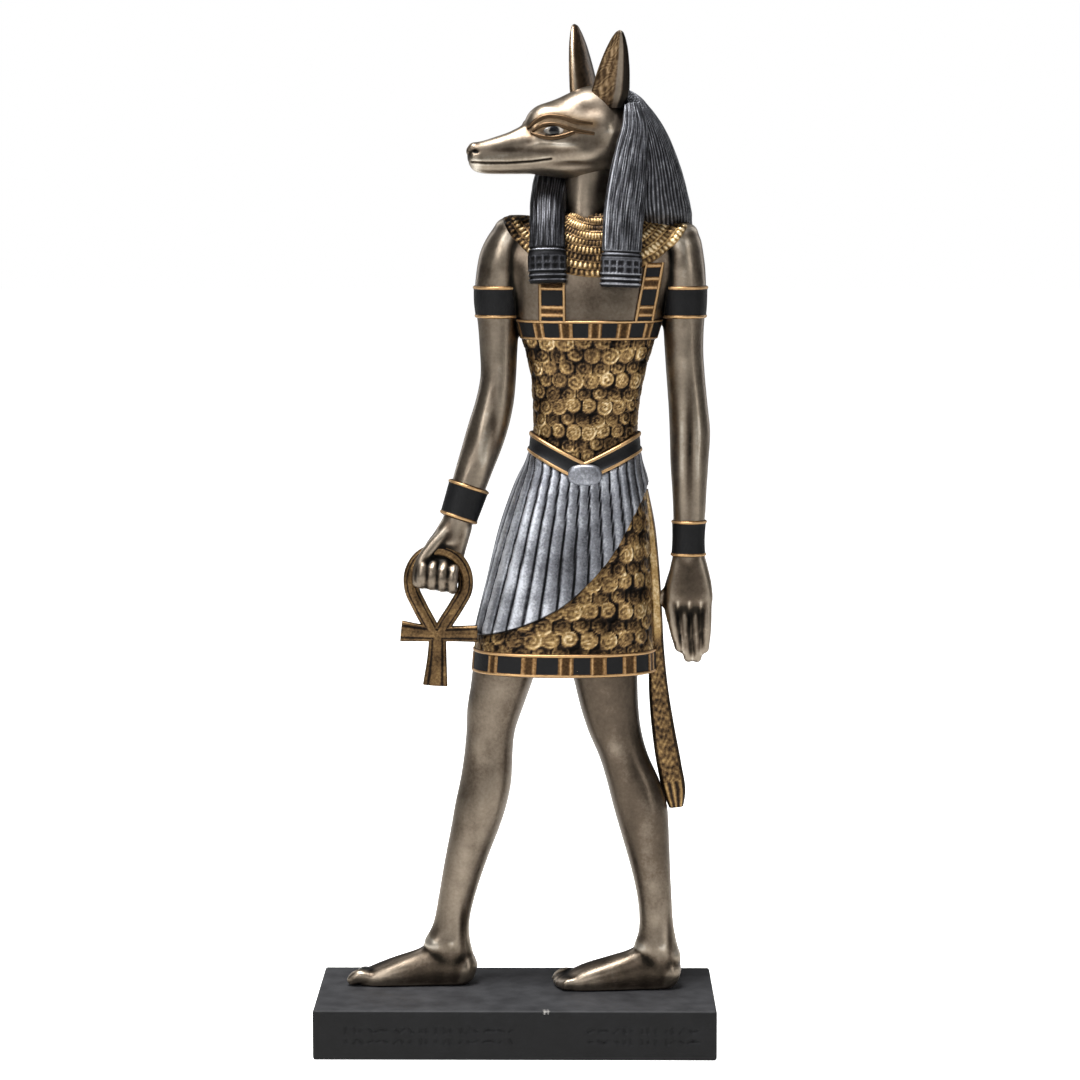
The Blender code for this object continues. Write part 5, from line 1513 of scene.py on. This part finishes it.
class STATUE_OT_straps(bpy.types.Operator):
    """The two shoulder straps with their enamel squares, laid on the torso's front"""

    bl_idname = "statue.straps"
    bl_label = "Straps"

    def execute(self, context):
        for i, (top_x, top, end_x, half, spans) in enumerate(STRAPS):
            end = CHEST_BAND[1] - 0.6
            share, across = np.meshgrid(np.linspace(0.0, 1.0, 90), np.linspace(-1.0, 1.0, 41), indexing="ij")
            height = top + (end - top) * share
            x = top_x + (end_x - top_x) * share + across * half
            edge = (1.0 - np.abs(across)) * half
            rails = 1.0 - smooth_step(0.8, 1.0, edge)
            bars, away = cells(height, [(low, high) for high, low in spans])
            gilt = np.maximum(rails, bars)
            hump = np.sqrt(np.clip(1.0 - ((edge - 0.45) / 0.45) ** 2, 0.0, 1.0))
            relief = np.where(rails > 0.5, 0.25 + 0.6 * hump, bar_relief(away))
            ease = smooth_step(0.0, 0.07, 1.0 - np.abs(across))
            y = front_of(TORSO, x, height, TORSO_POWER)
            front = np.stack([x, y - 0.1 - ease * (0.3 + 0.4 * gilt * relief), height], axis=-1)
            back = np.stack([x, y + 1.2, height], axis=-1)[:, ::-1]
            grid = np.concatenate([front, back], axis=1)
            fields = {
                key: [*np.concatenate([value, value[:, ::-1]], axis=1).ravel(), 1.0, 1.0]
                for key, value in (("gilt", gilt), ("relief", relief))
            }
            points, quads, caps = joined([shell(grid)])
            mesh = make_mesh(f"strap_{i + 1}", points, quads, caps, fields)
            place(f"strap_{i + 1}", mesh, finish_of("banded"), "cast_bronze")
        return {"FINISHED"}


class STATUE_OT_belt(bpy.types.Operator):
    """The black belt with gilt edges and its silver buckle"""

    bl_idname = "statue.belt"
    bl_label = "Belt"

    def execute(self, context):
        sides = BELT_SIDES
        angle = around(sides)[None, :]
        a, _ = section(angle, KILT_POWER)
        offset, proud = np.array(BELT_SECTION).T
        gilt = (np.abs(offset) > BELT_GILT_FROM) & (proud > -1.2)
        height = belt_height(a) + offset[:, None]
        grid = on_column(KILT, KILT_POWER, angle, height, proud[:, None])
        points, quads, caps = shell(grid, loop=True)
        quads, caps = outwards(points, quads, caps)
        relief = np.clip((proud - 0.6) / 0.9, 0.0, 1.0)
        fields = {"gilt": np.repeat(gilt, sides), "relief": np.repeat(relief, sides)}
        mesh = make_mesh("belt", points, quads, caps, fields)
        place("belt", mesh, finish_of("banded"), "cast_bronze")
        make_buckle()
        return {"FINISHED"}


def make_buckle():
    """A cushion: superellipse rings whose size is cos(t)^0.45 while the face rises with sin(t)."""
    x, z, half_width, half_height = BUCKLE
    y = front_of(KILT, x, z, KILT_POWER) - 0.9
    turn = np.linspace(0.0, math.pi / 2, 14)
    size = np.concatenate([[1.0], np.cos(turn) ** 0.45])
    rise = np.concatenate([[-1.6], 1.35 * np.sin(turn)])
    size[-1] = 0.03
    a, b = section(around(72), SOFT_BOX)
    grid = np.stack(np.broadcast_arrays(
        x + half_width * size[:, None] * a, y - rise[:, None], z + half_height * size[:, None] * b,
    ), axis=-1)
    points, quads, caps = joined([shell(grid)])
    mesh = make_mesh("buckle", points, quads, caps, {"relief": np.full(len(points), 0.78)})
    place("buckle", mesh, finish_of("silver"), "cast_bronze")


class STATUE_OT_collar(bpy.types.Operator):
    """The broad collar of gold beads over the shoulders"""

    bl_idname = "statue.collar"
    bl_label = "Collar"

    def execute(self, context):
        out = COLLAR_PROUD
        shells = [
            shell(column_grid(TORSO[5:], TORSO_POWER, 72, 90, out)),
            shell(column_grid(RIGHT_ARM[:7], ROUND, 48, 60, out)),
            shell(column_grid(LEFT_ARM[:7], ROUND, 48, 60, out)),
        ]
        points, quads, caps, edges = fused("collar", shells, size_of("collar_grid"))
        points = spread(points, edges, 3)
        x, z, half_width, half_height = COLLAR_OVAL
        near = np.hypot((points[:, 0] - x) / half_width, (points[:, 2] - z) / half_height)
        # Only the faces inside the oval are kept, and its rim is drawn in below the skin. Rows count
        # inwards from the rim. A bead is a cosine along its row times a sine across it.
        keep = near < COLLAR_EDGE
        quads = quads[keep[quads].all(axis=1)]
        caps = caps[keep[caps].all(axis=1)]
        used = np.unique(np.concatenate([quads.ravel(), caps.ravel()]))
        renumber = np.full(len(points), -1)
        renumber[used] = np.arange(len(used))
        points, near, quads, caps = points[used], near[used], renumber[quads], renumber[caps]
        turn = np.arctan2((points[:, 2] - z) / half_height, (points[:, 0] - x) / half_width)
        row = (1.0 - near) * COLLAR_DEEP / size_of("bead_row")
        column = turn * COLLAR_RADIUS / size_of("bead_length")
        bead = 0.5 + 0.5 * np.cos(2 * math.pi * column + (np.floor(row) % 2) * math.pi)
        within = np.sin(math.pi * (row % 1.0))
        line = smooth_step(0.2, 0.08, row % 1.0) + smooth_step(0.86, 0.96, row % 1.0)
        uneven = 0.5 + 0.5 * np.sin(np.floor(column) * 12.9898 + np.floor(row) * 78.233)
        beads = within**0.5 * (0.45 + 0.5 * bead) * (0.65 + 0.5 * uneven)
        relief = np.clip(np.maximum(beads, 0.6 * line), 0.0, 1.0)
        normals = normals_of(points, quads, caps)
        sink = smooth_step(0.975, COLLAR_EDGE, near)
        points = points + normals * ((relief - 0.7) * 0.55 - 1.6 * sink)[:, None]
        # the collar's right side is painted paler: its value rises by 0.16 from x = 26 to 34
        relief_paler_right = relief + 0.16 * smooth_step(26.0, 34.0, points[:, 0])
        mesh = make_mesh("collar", points, quads, caps, {"relief": relief_paler_right})
        place("collar", mesh, finish_of("gold"), "cast_bronze")
        return {"FINISHED"}


class STATUE_OT_ankh(bpy.types.Operator):
    """The ankh held by its loop"""

    bl_idname = "statue.ankh"
    bl_label = "Ankh"

    def execute(self, context):
        ring = np.array(LOOP + LOOP[:1], float)
        fine = refine([(x, z, 0.0) for x, z in np.vstack([ring[-3:-1], ring, ring[1:3]])], 241)
        # The loop is one turn of the line, and a section with two grooves is carried along it
        start, stop = (np.argmin(np.hypot(*(fine[part, :2] - ring[0]).T)) + base
                       for part, base in ((slice(0, 120), 0), (slice(120, None), 120)))
        loop = fine[start:stop, :2]
        tangent = unit(np.roll(loop, -1, axis=0) - np.roll(loop, 1, axis=0))
        angle = around(32)
        a, b = section(angle, LOOP_POWER)
        groove = 1.0 - 0.22 * bell(np.abs(a) - 0.5, 0.12)
        grid = np.empty((len(loop), 32, 3))
        grid[..., 0] = loop[:, None, 0] + tangent[:, None, 1] * LOOP_BAR * a
        grid[..., 1] = ANKH_Y + ANKH_DEPTH * b * groove
        grid[..., 2] = loop[:, None, 1] - tangent[:, None, 0] * LOOP_BAR * a
        flat = [(x, ANKH_Y, z, half, ANKH_DEPTH) for x, z, half in CROSSBAR]
        upright = [(x, ANKH_Y, z, half, ANKH_DEPTH) for z, x, half in STEM]
        parts, relief = [shell(grid, loop=True)], [np.tile(0.26 + 0.32 * (groove > 0.9), len(loop))]
        for rows, side in ((flat, ALONG_Z), (upright, ALONG_X)):
            count = 60
            bar = path_grid(rows, side, BAR_POWER, 32, count)
            height = np.tile(0.26 + 0.32 * (groove > 0.9), (count, 1))
            middle = bar.mean(axis=1, keepdims=True)
            thin = np.ones((1, 32, 3))
            thin[..., 1] = groove
            bar = middle + (bar - middle) * thin
            parts.append(shell(bar))
            relief.append(np.concatenate([height.ravel(), [0.4, 0.4]]))
        points, quads, caps = joined(parts)
        mesh = make_mesh("ankh", points, quads, caps, {"relief": np.concatenate(relief)})
        place("ankh", mesh, finish_of("gold"), "cast_bronze")
        return {"FINISHED"}


class STATUE_OT_tail(bpy.types.Operator):
    """The bull's tail that hangs from the belt"""

    bl_idname = "statue.tail"
    bl_label = "Tail"

    def execute(self, context):
        sides, count = TAIL_GRID
        grid = path_grid(TAIL, ALONG_X, SOFT_BOX, sides, count)
        angle, along = np.meshgrid(around(sides), np.linspace(0.0, TAIL_LENGTH, count))
        across = np.cos(angle)
        # The weave is a product of two bent waves, one down the tail and one across it
        edge = smooth_step(0.62, 0.75, np.abs(across))
        plait = np.cos(across * 9.0 + np.sin(along * 1.1))
        woven = 0.5 + 0.5 * np.sin(along * 2.3 + 2.0 * np.sin(across * 5.0)) * plait
        stripes = 0.5 + 0.5 * np.cos(across * 11.0)
        relief = np.where(along > TUFT_FROM, 0.3 + 0.5 * stripes, 0.4 + 0.32 * woven)
        relief = np.where(edge > 0.5, 0.42, relief)
        # The upper part is painted plain pale gold: partly the tail's smooth surface, partly a painted
        # highlight; one edge stays browner.
        upper_gold_and_highlight = smooth_step(52.0, 40.0, along) * (0.82 - 0.3 * edge * (across > 0))
        relief = np.maximum(relief, upper_gold_and_highlight)
        out = unit(grid - grid.mean(axis=1, keepdims=True))
        grid = grid + out * ((relief - 0.7) * 0.4)[..., None]
        points, quads, caps = joined([shell(grid)])
        mesh = make_mesh("tail", points, quads, caps, {"relief": [*relief.ravel(), 0.5, 0.5]})
        place("tail", mesh, finish_of("gold"), "cast_bronze")
        return {"FINISHED"}


class STATUE_OT_plinth(bpy.types.Operator):
    """The matte black plinth with shallow strokes on its front and a small chip"""

    bl_idname = "statue.plinth"
    bl_label = "Plinth"

    def execute(self, context):
        mesh = plinth_mesh()
        place("plinth_block", mesh, plinth_paint(), "black_plinth", "plinth")
        return {"FINISHED"}


def plinth_mesh():
    """The plinth with its front cut by worn strokes and one chip out of the front's top edge.

    The chip is a smooth step of the distance from a point on the edge, roughened by two sines.
    """
    low, high = np.array(PLINTH_LOW) / MM, np.array(PLINTH_HIGH) / MM
    half = (high - low) / 2
    points, quads, caps = rounded_box(half, 0.7)
    away = np.linalg.norm((points - (CHIP[0], -half[1], half[2])) * (1.0, 0.8, 1.3), axis=1)
    away += 0.3 * np.sin(points[:, 0] * 5.0) + 0.3 * np.sin(points[:, 2] * 7.0 + points[:, 1] * 4.0)
    chip = smooth_step(CHIP[1], CHIP[1] - 0.5, away)
    points = points + chip[:, None] * (0.0, 0.35, -0.35) + (low + high) / 2
    points[:, 2] -= SOLES / MM
    quads, caps = outwards(points, quads, caps)
    # the plinth's top is painted a paler grey than its black sides, over its last half millimetre of height
    dust = smooth_step(high[2] - SOLES / MM - 0.5, high[2] - SOLES / MM - 0.05, points[:, 2])
    return make_mesh("plinth_block", points, quads, caps, {"chip": chip, "dust": dust})


def stroke_depth(x, z):
    """Short worn dashes in two rows, none touching another: the distance to each, as a soft notch."""
    depth = np.zeros(np.shape(x))
    for i in range(44):
        start = -48.5 + i * 2.35 + 0.5 * math.sin(i * 2.3)
        if STROKE_GAP[0] < start < STROKE_GAP[1]:
            continue
        for row in (1.5, -1.7):
            reach, turn = 0.6 + 0.25 * math.sin(i * 1.7 + row), 1.6 * math.sin(i * 2.9 + row * 5.0)
            across, up = reach * math.cos(turn), reach * math.sin(turn)
            line = [(start - across, row - up), (start + across, row + up)]
            depth += 0.5 * bell(distance_to_line(x, z, line), 0.38)
    return depth


def rounded_box(half, corner):
    """The box as rings of one upright outline in y and z, carried along x.

    Its edges are quarter circles of the given radius: the end rings draw in by 1 - sin of their angle.
    """
    along_steps, front_steps, top_steps = PLINTH_STEPS
    turn = np.linspace(0.0, math.pi / 2, 5)
    ease = corner * (1 - np.sin(turn[:-1]))
    along = np.linspace(-half[0] + corner, half[0] - corner, along_steps)
    ends = half[0] - corner * (1 - np.cos(turn[:-1]))[::-1]
    places = np.concatenate([-ends[::-1], along, ends])
    inset = np.concatenate([ease, np.zeros(len(along)), ease[::-1]])
    flat_y, flat_z = half[1] - corner, half[2] - corner
    front_z = np.linspace(-flat_z, flat_z, front_steps)
    arc = np.stack([np.cos(turn[1:-1]), np.sin(turn[1:-1])], axis=1) * corner
    top_y = np.linspace(-flat_y, flat_y, top_steps)
    outline = np.vstack([
        np.stack([np.full(len(front_z), -half[1]), front_z], axis=1),
        np.stack([-flat_y - arc[:, 0], flat_z + arc[:, 1]], axis=1),
        np.stack([top_y, np.full(len(top_y), half[2])], axis=1),
        np.stack([flat_y + arc[::-1, 0], flat_z + arc[::-1, 1]], axis=1),
        [(half[1], flat_z), (half[1], -flat_z)],
        np.stack([flat_y + arc[:, 0], -flat_z - arc[:, 1]], axis=1),
        [(flat_y, -half[2]), (-flat_y, -half[2])],
        np.stack([-flat_y - arc[::-1, 0], -flat_z - arc[::-1, 1]], axis=1),
    ])
    grid = np.empty((len(places), len(outline), 3))
    grid[..., 0] = places[:, None]
    grid[..., 1] = outline[None, :, 0] * ((half[1] - inset) / half[1])[:, None]
    grid[..., 2] = outline[None, :, 1] * ((half[2] - inset) / half[2])[:, None]
    start = len(ease)
    x, z = np.meshgrid(along, front_z, indexing="ij")
    grid[start:start + len(along), :len(front_z), 1] += stroke_depth(x, z)
    return shell(grid)


def plinth_paint():
    """Matte black paint on cast resin: a paler grey top and faint mottling."""
    made, tree, shader = new_material("matte_black_resin")
    place_in = add(tree, "ShaderNodeTexCoord").outputs["Object"]
    noise = add(
        tree, "ShaderNodeTexNoise", {"Vector": place_in}, {"Scale": 1.0 / (6.0 * MM), "Detail": 6.0}
    )
    ramp, top = (
        add(tree, "ShaderNodeValToRGB", {"Fac": noise.outputs["Fac"]}, stops=stops_of(finish, 0.3, 0.7))
        for finish in ("plinth", "dust")
    )
    with_top_grey = add(
        tree, "ShaderNodeMix", {
            "Factor": add(tree, "ShaderNodeAttribute", attribute_name="dust").outputs["Fac"],
            "A": ramp.outputs["Color"], "B": top.outputs["Color"],
        }, data_type="RGBA",
    )
    plaster = add(
        tree, "ShaderNodeMix", {
            "Factor": add(tree, "ShaderNodeAttribute", attribute_name="chip").outputs["Fac"],
            "A": with_top_grey.outputs["Result"],
        }, data_type="RGBA",
    )
    plaster.inputs["B"].default_value = colour_of("plaster")
    tree.links.new(plaster.outputs["Result"], shader.inputs["Base Color"])
    shader.inputs["Roughness"].default_value = 0.62
    shader.inputs["Specular IOR Level"].default_value = 0.25
    grain = add(
        tree, "ShaderNodeTexNoise", {"Vector": place_in}, {"Scale": 1.0 / (0.8 * MM), "Detail": 3.0}
    )
    dents = add(
        tree, "ShaderNodeBump", {"Height": grain.outputs["Fac"]}, {"Strength": 1.0, "Distance": 0.05 * MM}
    )
    tree.links.new(dents.outputs["Normal"], shader.inputs["Normal"])
    return made


# Soft boxes: name, place and size in metres, power in watts
LIGHTS = (
    ("front", (-0.2, -1.3, 0.6), (0.6, 0.35), 2.2),
    ("key_left", (-0.62, -0.8, 0.72), (0.26, 0.8), 5.2),
    ("key_right", (0.78, -0.62, 0.45), (0.2, 0.8), 1.8),
    ("top", (-0.15, -0.2, 1.1), (0.4, 0.35), 19.0),
    ("back_left", (-0.7, 0.85, 0.6), (0.3, 0.9), 1.8),
    ("back_right", (0.8, 0.75, 0.5), (0.3, 0.9), 1.8),
)


class STATUE_OT_stage(bpy.types.Operator):
    """Pale floor, soft lights, and the camera"""

    bl_idname = "statue.stage"
    bl_label = "Stage"

    def execute(self, context):
        scene = context.scene
        scene.view_settings.view_transform = "Standard"
        floor_mesh = bpy.data.meshes.new("floor")
        reach = FLOOR_REACH
        floor_mesh.from_pydata(
            [(-reach, -reach, 0.0), (reach, -reach, 0.0), (reach, reach, 0.0), (-reach, reach, 0.0)],
            [], [(0, 1, 2, 3)],
        )
        floor = bpy.data.objects.new("floor", floor_mesh)
        scene.collection.objects.link(floor)
        pale, tree, shader = new_material("pale_floor")
        shader.inputs["Base Color"].default_value = colour_of("floor")
        shader.inputs["Roughness"].default_value = 0.9
        shader.inputs["Emission Color"].default_value = (1.0, 1.0, 1.0, 1.0)
        straight = add(tree, "ShaderNodeLightPath").outputs["Is Camera Ray"]
        glow = add(tree, "ShaderNodeMath", {0: straight}, {1: 0.95}, operation="MULTIPLY")
        tree.links.new(glow.outputs[0], shader.inputs["Emission Strength"])
        floor_mesh.materials.append(pale)

        world = bpy.data.worlds.new("soft_daylight")
        scene.world = world
        world.use_nodes = True
        sky = world.node_tree.nodes["Background"]
        seen = add(world.node_tree, "ShaderNodeLightPath").outputs["Is Camera Ray"]
        strength = add(
            world.node_tree, "ShaderNodeMapRange", {"Value": seen}, {"To Min": 0.1, "To Max": 1.0}
        )
        sky.inputs["Color"].default_value = (1.0, 1.0, 1.0, 1.0)
        world.node_tree.links.new(strength.outputs[0], sky.inputs["Strength"])

        for name, place_at, size, power in LIGHTS:
            light = bpy.data.lights.new(name, "AREA")
            light.shape = "RECTANGLE"
            light.size, light.size_y = size
            light.energy = power
            lamp = bpy.data.objects.new(name, light)
            lamp.location = place_at
            aim = np.array([0.015, 0.0, 0.16]) - np.array(place_at)
            lamp.rotation_euler = (
                math.acos(-aim[2] / np.linalg.norm(aim)), 0.0, math.atan2(aim[1], aim[0]) - math.pi / 2,
            )
            scene.collection.objects.link(lamp)

        camera = bpy.data.cameras.new("camera")
        camera.sensor_width = 36.0
        camera.lens = CAMERA_FOCUS / 1080.0 * camera.sensor_width
        camera.clip_start, camera.clip_end = 0.05, 30.0
        eye = bpy.data.objects.new("camera", camera)
        eye.location = CAMERA_PLACE
        eye.rotation_euler = (math.pi / 2 - CAMERA_TILT, 0.0, CAMERA_TURN)
        scene.collection.objects.link(eye)
        scene.camera = eye
        return {"FINISHED"}


class STATUE_PT_panel(bpy.types.Panel):
    """Sizes, colours and operators of the statue"""

    bl_idname = "STATUE_PT_panel"
    bl_label = "Statue"
    bl_space_type = "VIEW_3D"
    bl_region_type = "UI"
    bl_category = "Statue"

    def draw(self, context):
        """One row for each property and one button for each operator."""
        column = self.layout.column()
        for held in (context.scene.statue_sizes, context.scene.statue_colours):
            for key in type(held).__annotations__:
                column.prop(held, key)
        for piece in PIECES:
            column.operator(piece.bl_idname)


PIECES = (
    STATUE_OT_stage, STATUE_OT_skin, STATUE_OT_head, STATUE_OT_wig, STATUE_OT_collar, STATUE_OT_straps,
    STATUE_OT_dress, STATUE_OT_bands, STATUE_OT_belt, STATUE_OT_ankh, STATUE_OT_tail, STATUE_OT_plinth,
)
CLASSES = (StatueSizes, StatueColours, *PIECES, STATUE_PT_panel)


def register():
    """Makes the classes known and hangs the two groups of properties on the scene."""
    for item in CLASSES:
        bpy.utils.register_class(item)
    bpy.types.Scene.statue_sizes = bpy.props.PointerProperty(type=StatueSizes)
    bpy.types.Scene.statue_colours = bpy.props.PointerProperty(type=StatueColours)


def unregister():
    """Takes back what register did, in the opposite order."""
    del bpy.types.Scene.statue_colours
    del bpy.types.Scene.statue_sizes
    for item in reversed(CLASSES):
        bpy.utils.unregister_class(item)


def main():
    """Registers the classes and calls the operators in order."""
    register()
    for piece in PIECES:
        group, name = piece.bl_idname.split(".")
        if getattr(getattr(bpy.ops, group), name)() != {"FINISHED"}:
            raise RuntimeError(f"{piece.bl_idname} did not finish")
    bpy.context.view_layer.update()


if __name__ == "__main__":
    main()
